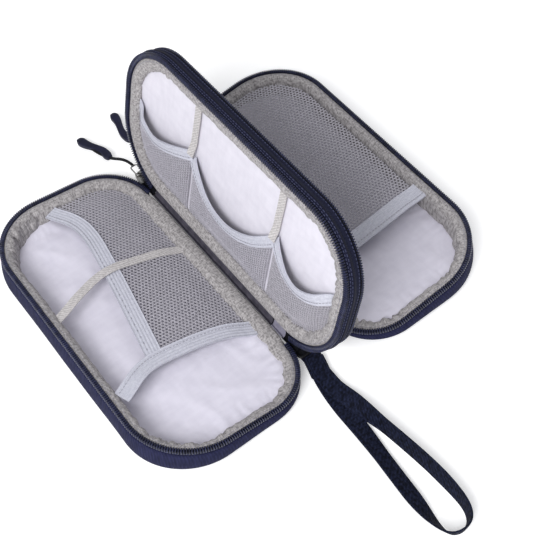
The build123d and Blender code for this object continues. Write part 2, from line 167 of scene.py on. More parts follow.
@dataclass(frozen=True)
class Rim:
    """The rounded outline of a leaf, walked from the middle of its spine edge towards +y."""

    width: float
    spine_radius: float
    outer_radius: float = 36.5
    length: float = 190.0
    spine_straight: float = 66.0

    def sides(self) -> list[tuple[Vector, Vector, float, Vector, float]]:
        """Each straight run with the corner after it.

        Returns:
            Tuples of the run's start, its outward direction, its length, and the corner's centre and radius.
        """
        half, near, far = self.length / 2, self.spine_radius, self.outer_radius
        flat = self.width - near - far
        turn = self.width - far
        spineward, ahead = Vector((-1, 0, 0)), Vector((0, 1, 0))
        corner = Vector((self.width - far, far - half, 0))
        return [
            (Vector((0, 0, 0)), spineward, half - near, Vector((near, half - near, 0)), near),
            (Vector((near, half, 0)), ahead, flat, Vector((turn, half - far, 0)), far),
            (Vector((self.width, half - far, 0)), -spineward, 2 * (half - far), corner, far),
            (Vector((turn, -half, 0)), -ahead, flat, Vector((near, near - half, 0)), near),
            (Vector((0, near - half, 0)), spineward, half - near, Vector((0, 0, 0)), 0.0),
        ]

    def around(self) -> float:
        """The length of the whole outline."""
        return sum(flat + radius * math.pi / 2 for _, _, flat, _, radius in self.sides())

    def station(self, run: float) -> Station:
        """The stop after a length of the outline.

        Args:
            run: Millimetres from the middle of the spine edge.

        Returns:
            A station whose side points outward and whose up is the open side.
        """
        left = run % self.around()
        up = Vector((0, 0, 1))
        for start, outward, flat, centre, radius in self.sides():
            ahead = outward.cross(up)
            if left <= flat:
                return Station(start + ahead * left, outward, up, run)
            left -= flat
            if left <= radius * math.pi / 2:
                turned = Matrix.Rotation(-left / radius, 3, "Z") @ outward
                return Station(centre + turned * radius, turned, up, run)
            left -= radius * math.pi / 2
        return Station(Vector((0, 0, 0)), Vector((-1, 0, 0)), up, run)

    def stations(self, step: float, start: float = 0.0, end: float | None = None) -> list[Station]:
        """Stops an even step apart; a whole round leaves its last stop out."""
        whole = end is None
        end = self.around() if whole else end
        count = max(2, round((end - start) / step))
        return [self.station(start + (end - start) * i / count) for i in range(count + (not whole))]

    def zipped(self, step: float) -> list[Station]:
        """Stops round the part of the outline that has a zip, open at the spine."""
        return self.stations(step, self.spine_straight, self.around() - self.spine_straight)

    def beyond(self, x: float, y: float, offset: float = 0.0) -> tuple[float, Vector]:
        """How far a point lies outside the outline moved out by an offset, and which way is out."""
        half = self.length / 2
        radius = self.spine_radius if x < self.width / 2 else self.outer_radius
        centre_x = radius if x < self.width / 2 else self.width - radius
        across = (centre_x - x) if x < self.width / 2 else (x - centre_x)
        along = abs(y) - (half - radius)
        sign = Vector((-1 if x < self.width / 2 else 1, 1 if y > 0 else -1, 0))
        if across > 0 and along > 0:
            away = Vector((across, along, 0))
            return away.length - radius - offset, Vector((away.x * sign.x, away.y * sign.y, 0)).normalized()
        if across - radius > along - radius:
            return across - radius - offset, Vector((sign.x, 0, 0))
        return along - radius - offset, Vector((0, sign.y, 0))

    def corner_share(self, run: float) -> float:
        """1 in the middle of a rounded corner, falling to 0 on the straight runs."""
        left, best = run % self.around(), 0.0
        for _, _, flat, _, radius in self.sides():
            left -= flat
            arc = radius * math.pi / 2
            if radius:
                best = max(best, 1 - ease(arc * 0.3, arc * 0.85, abs(left - arc / 2)))
            left -= arc
        return best

    def spine_share(self, run: float) -> float:
        """1 along the spine edge, where the zip is open, and 0 elsewhere."""
        left = run % self.around()
        left = min(left, self.around() - left)
        return 1 - ease(self.spine_straight - 8, self.spine_straight + 2, left)


TRAY_RIM = Rim(94.0, 28.8)
LEAF_RIM = Rim(93.0, 38.0)


# ---- making meshes ----------------------------------------------------------------------------


def loft(
    bm: bmesh.types.BMesh,
    stations: Sequence[Station],
    profile: Section,
    closed_profile: bool = True,
    closed_path: bool = False,
    depth: Depth | None = None,
    bend: Bend | None = None,
) -> None:
    """Carry a profile along a line of stations as one skin.

    Args:
        bm: The mesh that receives the skin.
        stations: The stops of the line.
        profile: Points as (side offset, share of the depth, rise).
        closed_profile: Whether the profile is a loop.
        closed_path: Whether the line is a loop.
        depth: The height of the leaf's inner floor under a point, for a tray that gets deeper.
        bend: Moves a point, given its station, its run and its way round the profile.
    """
    columns, rows = len(profile) - (not closed_profile), len(stations) - (not closed_path)
    made = bmesh.ops.create_grid(bm, x_segments=columns, y_segments=rows, size=1.0)["verts"]
    made.sort(key=lambda v: (round(v.co.y, 5), round(v.co.x, 5)))
    uv = bm.loops.layers.uv.verify()
    girth = [0.0]
    for a, b in zip(profile, [*profile[1:], profile[0]]):
        girth.append(girth[-1] + math.hypot(b[0] - a[0], b[2] - a[2]) + 0.4 * abs(b[1] - a[1]))
    step = stations[1].run - stations[0].run
    spots: dict[bmesh.types.BMVert, tuple[float, float]] = {}
    for index, vert in enumerate(made):
        row, column = divmod(index, columns + 1)
        station = stations[row % len(stations)]
        side, share, rise = profile[column % len(profile)]
        point = station.at + station.side * side
        point += station.up * (rise + (share * depth(point) if depth else 0.0))
        run = stations[0].run + step * row if closed_path else station.run
        spots[vert] = (girth[column], run)
        vert.co = bend(point, station, girth[column], side) if bend else point
    for face in {face for vert in made for face in vert.link_faces}:
        for corner in face.loops:
            corner[uv].uv = spots[corner.vert]
    if closed_profile or closed_path:
        rim = [v for v in made if v.is_boundary]
        bmesh.ops.remove_doubles(bm, verts=rim, dist=1e-4)


def hoop(
    rim: "Rim", step: float, profile: Section, depth: Depth | None = None, bend: Bend | None = None
) -> bmesh.types.BMesh:
    """A closed band round a whole outline, its faces turned outwards.

    Args:
        rim: The outline.
        step: From one station to the next.
        profile: The band's section.
        depth: The height of the floor under a point.
        bend: Moves each point.

    Returns:
        The band's mesh.
    """
    bm = bmesh.new()
    loft(bm, rim.stations(step), profile, closed_path=True, depth=depth, bend=bend)
    bmesh.ops.recalc_face_normals(bm, faces=bm.faces[:])
    return bm


def rod(stations: Sequence[Station], profile: Section, bend: Bend | None = None) -> bmesh.types.BMesh:
    """A closed strip or tube along a line, with both its ends filled."""
    bm = bmesh.new()
    loft(bm, stations, profile, bend=bend)
    cap(bm)
    return bm


def cap(bm: bmesh.types.BMesh) -> None:
    """Close the open ends of a tube and turn its faces outwards."""
    bmesh.ops.holes_fill(bm, edges=[e for e in bm.edges if e.is_boundary], sides=0)
    bmesh.ops.recalc_face_normals(bm, faces=bm.faces[:])


def panel(bm: bmesh.types.BMesh, rim: Rim, inset: float, step: float) -> None:
    """A fine flat grid pulled in to a rim's outline.

    Args:
        bm: The mesh that receives the panel.
        rim: The outline.
        inset: How far inside the outline the panel ends.
        step: The size of a cell.
    """
    wide, long = rim.width, rim.length
    bmesh.ops.create_grid(bm, x_segments=round(wide / step), y_segments=round(long / step), size=0.5)
    stretched = Matrix.Translation((wide / 2, 0, 0)) @ Matrix.Diagonal((wide, long, 1, 1))
    bmesh.ops.transform(bm, matrix=stretched, verts=bm.verts[:])
    outside = [f for f in bm.faces if rim.beyond(*f.calc_center_median().xy, -inset)[0] > step * 0.4]
    bmesh.ops.delete(bm, geom=outside, context="FACES")
    for vert in bm.verts:
        over, outward = rim.beyond(vert.co.x, vert.co.y, -inset)
        if over > 0 or vert.is_boundary and over > -step:
            vert.co -= outward * over
    plan_uv(bm)


def plan_uv(bm: bmesh.types.BMesh) -> None:
    """Give a flat cloth its own plan as its UV map, in millimetres."""
    uv = bm.loops.layers.uv.verify()
    for face in bm.faces:
        for corner in face.loops:
            corner[uv].uv = corner.vert.co.xy


@dataclass(frozen=True)
class Knit:
    """A knitted mesh: from one hole to the next, and the width of the yarn between two holes."""

    pitch: float
    bar: float


COARSE_KNIT = Knit(2.1, 0.72)
FINE_KNIT = Knit(1.65, 0.52)
MIDDLING_KNIT = Knit(1.75, 0.56)


def netting(bm: bmesh.types.BMesh, low: Vector, high: Vector, knit: Knit, keep: Inside) -> None:
    """Hexagonal netting over a rectangle, one ring of bars for each hole.

    Args:
        bm: The mesh that receives the net.
        low: The rectangle's lowest corner.
        high: The rectangle's highest corner.
        knit: The size of its holes and yarn.
        keep: Says which holes are made, by their middle.
    """
    pitch = knit.pitch
    bmesh.ops.create_circle(bm, segments=6, radius=pitch / math.sqrt(3), cap_ends=True)
    inset = knit.bar / 2
    bmesh.ops.inset_region(bm, faces=bm.faces[:], thickness=inset, use_boundary=True, use_even_offset=True)
    hole = max(bm.faces, key=lambda f: f.calc_area() if f.calc_center_median().length < pitch / 20 else 0)
    bmesh.ops.delete(bm, geom=[hole], context="FACES_ONLY")
    upright = Matrix.Translation((low.x, low.y, 0)) @ Matrix.Rotation(math.pi / 6, 4, "Z")
    bmesh.ops.transform(bm, matrix=upright, verts=bm.verts[:])
    rise = pitch * math.sqrt(3) / 2
    everything = bm.verts[:] + bm.edges[:] + bm.faces[:]
    other = bmesh.ops.duplicate(bm, geom=everything)["geom"]
    shifted = [g for g in other if isinstance(g, bmesh.types.BMVert)]
    bmesh.ops.translate(bm, vec=(pitch / 2, rise, 0), verts=shifted)
    for size, stride in ((high.x - low.x, Vector((pitch, 0, 0))), (high.y - low.y, Vector((0, 2 * rise, 0)))):
        bmesh.ops.spin(
            bm,
            geom=bm.verts[:] + bm.edges[:] + bm.faces[:],
            cent=(0, 0, 0),
            axis=(0, 0, 1),
            dvec=stride,
            angle=0,
            steps=max(1, int(size / stride.length)),
            use_duplicate=True,
        )
    dropped = [f for f in bm.faces if not keep(*f.calc_center_median().xy)]
    bmesh.ops.delete(bm, geom=dropped, context="FACES")
    bmesh.ops.remove_doubles(bm, verts=bm.verts[:], dist=pitch / 40)
    plan_uv(bm)


def repeat(bm: bmesh.types.BMesh, places: Sequence[Matrix]) -> None:
    """Copy everything in a mesh to each place, and drop the pattern itself."""
    pattern = bm.verts[:] + bm.edges[:] + bm.faces[:]
    for place in places:
        copied = bmesh.ops.duplicate(bm, geom=pattern)["geom"]
        bmesh.ops.transform(bm, matrix=place, verts=[g for g in copied if isinstance(g, bmesh.types.BMVert)])
    bmesh.ops.delete(bm, geom=[g for g in pattern if isinstance(g, bmesh.types.BMVert)], context="VERTS")


def lozenge(bm: bmesh.types.BMesh, size: tuple[float, float, float], bevel: float, segments: int = 1) -> None:
    """A block with all its edges rounded, at the origin."""
    bmesh.ops.create_cube(bm, size=1.0)
    bmesh.ops.transform(bm, matrix=Matrix.Diagonal((*size, 1)), verts=bm.verts[:])
    bmesh.ops.bevel(
        bm, geom=bm.edges[:], offset=bevel, segments=segments, profile=0.5, affect="EDGES", material=-1
    )


def stitch_row(size: tuple[float, float, float], bevel: float, places: Sequence[Matrix]) -> bmesh.types.BMesh:
    """Rounded stitches of one size, one at each place."""
    bm = bmesh.new()
    lozenge(bm, size, bevel)
    repeat(bm, places)
    return bm


def rim_matrix(station: Station, offset: float, rise: float) -> Matrix:
    """A place beside a rim: x ahead along it, y outward and z up."""
    ahead = station.side.cross(station.up)
    turned = Matrix([list(ahead), list(-station.side), list(station.up)]).transposed().to_4x4()
    return Matrix.Translation(station.at + station.side * offset + station.up * rise) @ turned


def circle(radius: float, count: int, side: float = 0.0, rise: float = 0.0, share: float = 0.0) -> Section:
    """A round profile about a middle."""
    angles = [TURN * i / count for i in range(count)]
    return [(side + radius * math.cos(a), share, rise + radius * math.sin(a)) for a in angles]


def smooth_line(points: Sequence[Sequence[float]], count: int) -> list[Vector]:
    """Even stops on a soft curve through a few plan points."""
    knots = [Vector(p).to_3d() for p in points]
    knots = [knots[0] * 2 - knots[1], *knots, knots[-1] * 2 - knots[-2]]
    found = []
    for i in range(count + 1):
        place = (len(points) - 1) * i / count
        k = min(int(place), len(points) - 2)
        t = place - k
        a, b, c, d = knots[k : k + 4]
        square, cube = a * 2 - b * 5 + c * 4 - d, b * 3 - a - c * 3 + d
        found.append(((b * 2) + (c - a) * t + square * t**2 + cube * t**3) / 2)
    return found


def line_stations(
    line: Sequence[Vector],
    up: Vector = Vector((0, 0, 1)),
    twist: Callable[[float], float] | None = None,
) -> list[Station]:
    """Stations along a line of points, their side level and square to the line.

    Args:
        line: The points.
        up: What counts as up before any twist.
        twist: The turn about the line, in radians, at a share of its length.

    Returns:
        One station for each point.
    """
    runs = [0.0]
    for a, b in zip(line, line[1:]):
        runs.append(runs[-1] + (b - a).length)
    found = []
    for i, at in enumerate(line):
        ahead = (line[min(i + 1, len(line) - 1)] - line[max(i - 1, 0)]).normalized()
        side = ahead.cross(up).normalized()
        turned = Matrix.Rotation(twist(runs[i] / runs[-1]) if twist else 0.0, 3, ahead) @ side
        found.append(Station(at, turned, turned.cross(ahead), runs[i]))
    return found


# ---- finishes ---------------------------------------------------------------------------------


class Slot(Enum):
    """The record's material slots."""

    TWILL = "navy_twill"
    PIPING = "dark_piping"
    COIL = "navy_coil"
    TAPE = "navy_tape"
    HEATHER = "grey_heather"
    SATIN = "satin_lining"
    NET = "grey_net"
    ELASTIC = "lavender_elastic"
    RIBBON = "grey_ribbon"
    FOAM = "foam_board"
    GRIP = "grip_rubber"
    METAL = "nickel_metal"
    CORD = "black_cord"
    WEBBING = "navy_webbing"
    PLASTIC = "black_plastic"


class Weave(Enum):
    """How the threads of a cloth cross, as the slant of its ribs."""

    PLAIN = 0.0
    TWILL = 1.0


Colour = tuple[float, float, float, float]


def tint(code: str) -> Colour:
    """A colour from its six-digit code, as shaders want it."""
    parts = [int(code[i : i + 2], 16) / 255 for i in (0, 2, 4)]
    return (*[p / 12.92 if p < 0.04045 else ((p + 0.055) / 1.055) ** 2.4 for p in parts], 1.0)


class Graph:
    """A node tree that is being filled in."""

    def __init__(self, tree: bpy.types.NodeTree) -> None:
        """Start with an empty tree."""
        self.tree = tree
        tree.nodes.clear()

    def add(self, kind: str, feeds: dict | None = None, **settings: object) -> bpy.types.Node:
        """Place a node.

        Args:
            kind: The node's type.
            feeds: Values or sockets for its inputs, by name or number.
            **settings: Its own properties.

        Returns:
            The new node.
        """
        node = self.tree.nodes.new(kind)
        for key, value in settings.items():
            setattr(node, key, value)
        for key, value in (feeds or {}).items():
            if isinstance(value, bpy.types.NodeSocket):
                self.tree.links.new(value, node.inputs[key])
            else:
                node.inputs[key].default_value = value
        return node

    def sum(self, operation: str, *values: object) -> bpy.types.NodeSocket:
        """The result of a maths node."""
        return self.add("ShaderNodeMath", dict(enumerate(values)), operation=operation).outputs[0]

    def blend(self, share: object, a: object, b: object) -> bpy.types.NodeSocket:
        """A colour between two others."""
        return self.add("ShaderNodeMix", {0: share, 6: a, 7: b}, data_type="RGBA").outputs[2]

    def ramp(self, value: object, low: float, high: float) -> bpy.types.NodeSocket:
        """A number stretched from low..high to 0..1."""
        feeds = {0: value, 1: low, 2: high}
        return self.add("ShaderNodeMapRange", feeds, interpolation_type="SMOOTHSTEP").outputs[0]

    def dimmed(self, tone: object, by: object) -> bpy.types.NodeSocket:
        """A colour multiplied by a number."""
        feeds = {0: 1.0, 6: tone, 7: by}
        return self.add("ShaderNodeMix", feeds, data_type="RGBA", blend_type="MULTIPLY").outputs[2]

    def stretched(
        self, vector: object, scale: tuple[float, float, float], turn: float = 0.0
    ) -> bpy.types.NodeSocket:
        """Coordinates scaled and turned."""
        return self.add("ShaderNodeMapping", {0: vector, 2: (0, 0, turn), 3: scale}).outputs[0]

    def speckle(self, vector: object, scale: float, detail: float = 2.0) -> bpy.types.NodeSocket:
        """Plain noise."""
        return self.add("ShaderNodeTexNoise", {"Vector": vector, "Scale": scale, "Detail": detail}).outputs[0]


def shader_group(name: str, ins: dict[str, str], outs: Sequence[str]) -> tuple[Graph, bpy.types.Node]:
    """A new node group with named sockets.

    Args:
        name: The group's name.
        ins: Its inputs and their kinds.
        outs: Its outputs, all plain numbers.

    Returns:
        Its graph and its input node.
    """
    tree = bpy.data.node_groups.new(name, "ShaderNodeTree")
    graph = Graph(tree)
    for label, kind in ins.items():
        tree.interface.new_socket(label, in_out="INPUT", socket_type=kind)
    for label in outs:
        tree.interface.new_socket(label, in_out="OUTPUT", socket_type="NodeSocketFloat")
    return graph, graph.add("NodeGroupInput")


def group_threads() -> bpy.types.NodeTree:
    """Crossing threads, plain or slanted: a relief and the shade between the threads."""
    ins = {"Vector": "NodeSocketVector", "Threads": "NodeSocketFloat", "Slant": "NodeSocketFloat"}
    graph, start = shader_group("crossing_threads", ins, ["Relief"])
    split = graph.add("ShaderNodeSeparateXYZ", {0: start.outputs["Vector"]})
    turns = graph.sum("MULTIPLY", start.outputs["Threads"], TURN)
    x, y = graph.sum("MULTIPLY", split.outputs[0], turns), graph.sum("MULTIPLY", split.outputs[1], turns)
    plain = graph.sum("MULTIPLY", graph.sum("SINE", x), graph.sum("SINE", y))
    ribs = graph.sum("SINE", graph.sum("MULTIPLY", graph.sum("ADD", x, y), 0.5))
    slanted = graph.sum("MULTIPLY_ADD", ribs, 0.75, graph.sum("MULTIPLY", plain, 0.25))
    share = start.outputs["Slant"]
    both = graph.add("ShaderNodeMix", {0: share, 2: plain, 3: slanted}, data_type="FLOAT").outputs[0]
    graph.add("NodeGroupOutput", {"Relief": graph.sum("MULTIPLY_ADD", both, 0.5, 0.5)})
    return graph.tree


def group_marl() -> bpy.types.NodeTree:
    """Two-tone yarn: short flecks that run both ways through a cloth."""
    ins = {"Vector": "NodeSocketVector", "Size": "NodeSocketFloat", "Contrast": "NodeSocketFloat"}
    graph, start = shader_group("marled_yarn", ins, ["Fleck"])
    feeds = {0: start.outputs["Vector"], 3: start.outputs["Size"]}
    grown = graph.add("ShaderNodeVectorMath", feeds, operation="SCALE")
    one = graph.speckle(graph.stretched(grown.outputs[0], (1.0, 0.35, 1.0)), 1.0, 1.5)
    two = graph.speckle(graph.stretched(grown.outputs[0], (0.4, 1.1, 1.0), 0.12), 1.0, 1.5)
    both = graph.sum("SUBTRACT", graph.sum("MULTIPLY", graph.sum("ADD", one, two), 0.5), 0.5)
    graph.add("NodeGroupOutput", {"Fleck": graph.sum("MULTIPLY_ADD", both, start.outputs["Contrast"], 0.5)})
    return graph.tree


def group_use() -> bpy.types.NodeTree:
    """Light handling: broad uneven patches and a few specks of lint."""
    ins = {"Vector": "NodeSocketVector", "Amount": "NodeSocketFloat"}
    graph, start = shader_group("gentle_use", ins, ["Patch", "Lint"])
    patch = graph.speckle(start.outputs["Vector"], 0.045, 4.0)
    specks = graph.ramp(graph.speckle(start.outputs["Vector"], 0.9, 1.0), 0.73, 0.8)
    amount = start.outputs["Amount"]
    graph.add(
        "NodeGroupOutput",
        {"Patch": graph.sum("MULTIPLY", patch, amount), "Lint": graph.sum("MULTIPLY", specks, amount)},
    )
    return graph.tree


GROUPS: dict[str, bpy.types.NodeTree] = {}
# Name of the lining attribute that paints shade under the nets, from 0 in the open to 1 under a net.
NET_SHADE_ATTRIBUTE = "net_shade"
BAND_STITCH = (1.5, 0.3, 0.24)


def placed_group(graph: Graph, maker: Callable[[], bpy.types.NodeTree], feeds: dict) -> bpy.types.Node:
    """Place a shared group, building it on first use."""
    if maker.__name__ not in GROUPS:
        GROUPS[maker.__name__] = maker()
    node = graph.add("ShaderNodeGroup", node_tree=GROUPS[maker.__name__])
    for key, value in feeds.items():
        if isinstance(value, bpy.types.NodeSocket):
            graph.tree.links.new(value, node.inputs[key])
        else:
            node.inputs[key].default_value = value
    return node


class Pattern(Enum):
    """What a finish's pattern follows."""

    CLOTH = "UV"
    BODY = "Object"


@dataclass(frozen=True)
class Finish:
    """A surface: its two tones, its threads and its gloss."""

    name: str
    slot: Slot
    light: str
    dark: str
    roughness: float = 0.8
    threads: float = 1.6
    weave: Weave = Weave.PLAIN
    relief: float = 0.25
    fleck: float = 1.4
    contrast: float = 1.2
    shade: float = 0.25
    sheen: float = 0.0
    metallic: float = 0.0
    coat: float = 0.0
    specular: float = 0.2
    use: float = 0.5
    wrinkle: float = 0.0
    # How strongly the lining is darkened under a net: painted shade.
    under: float = 0.0
    follows: Pattern = Pattern.CLOTH

    def material(self) -> bpy.types.Material:
        """The finish as a material, built on first use."""
        label = f"{self.name}_finish"
        made = bpy.data.materials.get(label)
        if made:
            return made
        made = bpy.data.materials.new(label)
        made.use_nodes = True
        graph = Graph(made.node_tree)
        place = graph.add("ShaderNodeTexCoord").outputs[self.follows.value]
        if self.follows is Pattern.BODY:
            place = graph.stretched(place, (1000, 1000, 1000))
        threads = placed_group(
            graph, group_threads, {"Vector": place, "Threads": self.threads, "Slant": self.weave.value}
        ).outputs["Relief"]
        marl = placed_group(
            graph, group_marl, {"Vector": place, "Size": self.fleck, "Contrast": self.contrast * 2}
        ).outputs["Fleck"]
        use = placed_group(graph, group_use, {"Vector": place, "Amount": self.use})
        tone = graph.blend(graph.ramp(marl, 0.0, 1.0), tint(self.dark), tint(self.light))
        gap = graph.sum("MULTIPLY_ADD", threads, self.shade, 1 - self.shade)
        gap = graph.sum("MULTIPLY_ADD", use.outputs["Patch"], -0.22, gap)
        tone = graph.dimmed(tone, gap)
        # Painted shade: the colour is darkened where the lining's attribute says that it lies under a net.
        if self.under:
            net_shade = graph.add("ShaderNodeAttribute", attribute_name=NET_SHADE_ATTRIBUTE).outputs["Fac"]
            tone = graph.dimmed(tone, graph.sum("MULTIPLY_ADD", net_shade, -self.under, 1.0))
        tone = graph.blend(graph.sum("MULTIPLY", use.outputs["Lint"], 0.35), tone, tint(self.light))
        height = graph.sum("MULTIPLY_ADD", marl, 0.35, threads)
        if self.wrinkle:
            soft = graph.speckle(graph.stretched(place, (1, 0.45, 1), 0.5), 0.09, 3.0)
            height = graph.sum("MULTIPLY_ADD", soft, self.wrinkle, height)
        bump = graph.add("ShaderNodeBump", {"Strength": 0.6, "Distance": self.relief * MM, "Height": height})
        rough = graph.sum("MULTIPLY_ADD", use.outputs["Patch"], 0.12, self.roughness - 0.04)
        shader = graph.add(
            "ShaderNodeBsdfPrincipled",
            {
                "Base Color": tone,
                "Roughness": rough,
                "Metallic": self.metallic,
                "Normal": bump.outputs[0],
                "Sheen Weight": self.sheen,
                "Sheen Roughness": 0.45,
                "Coat Weight": self.coat,
                "Specular IOR Level": self.specular,
            },
        )
        graph.add("ShaderNodeOutputMaterial", {"Surface": shader.outputs[0]})
        return made


TWILL = Finish(
    "navy_twill", Slot.TWILL, "2f3154", "1e203b", 0.8, 1.2, Weave.TWILL, 0.25, 1.1, 1.0, 0.35, specular=0.1
)
PIPING = Finish("dark_piping", Slot.PIPING, "1a1c30", "0e0f1c", 0.6, 2.0, Weave.TWILL, 0.15, 1.4, 1.0)
COIL = Finish(
    "navy_coil", Slot.COIL, "2c3050", "16182d", 0.32, 0.9, relief=0.03, fleck=0.5, shade=0.05, coat=0.15,
    specular=0.35, follows=Pattern.BODY,
)
# Near-black: as the coil's core it is painted shade that makes the gaps between the loops dark; it is also the
# black of the spine's end facing and ribbed tape.
BLACK_AND_SHADE = Finish("coil_core", Slot.COIL, "0b0d18", "050609", 0.8, 1.2, relief=0.1, follows=Pattern.BODY)
TAPE = Finish(
    "navy_tape", Slot.TAPE, "21243c", "12142a", 0.75, 1.4, Weave.TWILL, 0.2, 1.2, 1.0, 0.35, specular=0.1
)
GUSSET = Finish(
    "navy_gusset", Slot.TWILL, "23263f", "13152a", 0.7, 1.6, Weave.TWILL, 0.16, 1.2, 1.0, 0.25, specular=0.15
)
THREAD = Finish("stitch_thread", Slot.TAPE, "5a5e7e", "3a3e5c", 0.5, 2.5, relief=0.05, follows=Pattern.BODY)
DARK_THREAD = Finish(
    "dark_thread", Slot.WEBBING, "272e4a", "12172b", 0.5, 2.5, relief=0.05, follows=Pattern.BODY
)
PALE_THREAD = Finish(
    "pale_thread", Slot.RIBBON, "b4b2be", "86848f", 0.6, 2.5, relief=0.05, follows=Pattern.BODY
)
HEATHER = Finish(
    "grey_heather", Slot.HEATHER, "d0cccd", "8e8a8b", 0.95, 1.1, relief=0.35, fleck=1.3, contrast=1.6,
    shade=0.3,
    sheen=0.05,
)
# The heather painted darker: painted shade for the cloth along the spine's far end and in the rear hinge.
SHADY_HEATHER = Finish(
    "shaded_heather", Slot.HEATHER, "8a827f", "4e4947", 0.95, 1.2, relief=0.35, fleck=1.15, contrast=1.8
)
# The lining's satin painted dark: painted shade for the deep valley between the front tray and the leaf.
SHADED_SPINE_SATIN = Finish(
    "shaded_spine_satin", Slot.SATIN, "5a5763", "3a3842", 0.5, 3.0, relief=0.1, fleck=0.3, shade=0.08
)
# A less dark copy of the same satin, for a small paler patch in that valley near the strap.
PATCH_SATIN = Finish(
    "patch_satin", Slot.SATIN, "9a97a8", "7f7c8e", 0.5, 3.0, relief=0.1, fleck=0.3, shade=0.08
)
# The lining's satin; its last setting paints shade under the nets.
SATIN = Finish(
    "satin_lining", Slot.SATIN, "e4e1ee", "d8d5e3", 0.45, 3.0, relief=0.12, fleck=0.25, contrast=0.8,
    shade=0.06,
    sheen=0.08, use=0.2, wrinkle=0.6, under=0.42,
)
# A slightly lighter copy of the lining satin for the middle leaf: painted light for the brighter light on the
# leaf, with painted shade under its nets.
LIT_SATIN = Finish(
    "lit_lining", Slot.SATIN, "e6e3ed", "dad7e2", 0.45, 3.0, relief=0.1, fleck=0.25, contrast=0.8,
    shade=0.05,
    sheen=0.05, use=0.2, wrinkle=0.6, under=0.45,
)
NET = Finish(
    "grey_net", Slot.NET, "d0cdd6", "b0adb6", 0.65, 2.2, relief=0.1, fleck=1.2, contrast=1.2, shade=0.15
)
PALE_NET = Finish(
    "pale_net", Slot.NET, "d4d1db", "b2afba", 0.65, 2.2, relief=0.1, fleck=1.2, contrast=1.2, shade=0.15
)
ELASTIC = Finish(
    "lavender_elastic", Slot.ELASTIC, "dcdde8", "c2c3d1", 0.75, 1.3, relief=0.2, fleck=1.2, contrast=0.9,
    shade=0.25,
)
RIBBON = Finish("grey_ribbon", Slot.RIBBON, "e0dcdc", "bab6b6", 0.85, 1.1, Weave.TWILL, 0.3, 1.1, 1.1, 0.3)
FOAM = Finish("foam_board", Slot.FOAM, "6e6e72", "4f4f55", 0.95, 1.0, relief=0.3, follows=Pattern.BODY)
GRIP = Finish(
    "grip_rubber", Slot.GRIP, "1b1c38", "111227", 0.5, 0.8, relief=0.04, fleck=0.6, shade=0.04, specular=0.25,
    follows=Pattern.BODY,
)
METAL = Finish(
    "nickel_metal", Slot.METAL, "c9c8c6", "8e8d8c", 0.26, 0.5, relief=0.02, fleck=0.4, shade=0.03,
    metallic=1.0,
    specular=0.5, follows=Pattern.BODY,
)
CORD = Finish("black_cord", Slot.CORD, "23232a", "0b0b0f", 0.6, 1.4, Weave.TWILL, 0.25, 1.4, 1.2, 0.45)
WEBBING = Finish(
    "navy_webbing", Slot.WEBBING, "232840", "0e111e", 0.8, 0.8, Weave.TWILL, 0.4, 0.8, 2.0, 0.45, specular=0.1
)
PLASTIC = Finish(
    "black_plastic", Slot.PLASTIC, "202024", "101013", 0.35, 0.5, relief=0.03, fleck=0.3, shade=0.03,
    specular=0.5,
    follows=Pattern.BODY,
)


# ---- handing pieces over ----------------------------------------------------------------------


@dataclass
class Piece:
    """A piece on its way from a mesh to the finished object."""

    name: str
    finish: Finish
    body: str
    replaces: Sequence[str] = ()
    thick: float = 0.0
    levels: int = 0

    def made(self, bm: bmesh.types.BMesh, place: Placement) -> bpy.types.Object:
        """Turn a mesh into an object that rides on its body.

        Args:
            bm: The mesh in millimetres; it is used up.
            place: The frame that it was made in.

        Returns:
            The object.
        """
        bmesh.ops.transform(bm, matrix=place.matrix(), verts=bm.verts[:])
        for face in bm.faces:
            face.smooth = True
        mesh = bpy.data.meshes.new(self.name)
        bm.to_mesh(mesh)
        bm.free()
        mesh.materials.append(self.finish.material())
        if not self.levels:
            mesh.set_sharp_from_angle(angle=math.radians(50))
        piece = bpy.data.objects.new(self.name, mesh)
        bpy.context.scene.collection.objects.link(piece)
        if self.thick:
            piece.modifiers.new("thickness", "SOLIDIFY").thickness = self.thick * MM
            piece.modifiers["thickness"].offset = 0.0
        if self.levels:
            smooth = piece.modifiers.new("softness", "SUBSURF")
            smooth.levels = smooth.render_levels = self.levels
        if self.body:
            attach(piece, self.body)
        if self.replaces:
            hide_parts(*self.replaces)
        log.info("%s: %d faces on %s", self.name, len(mesh.polygons), self.body or "two bodies")
        return piece


# ---- zips -------------------------------------------------------------------------------------


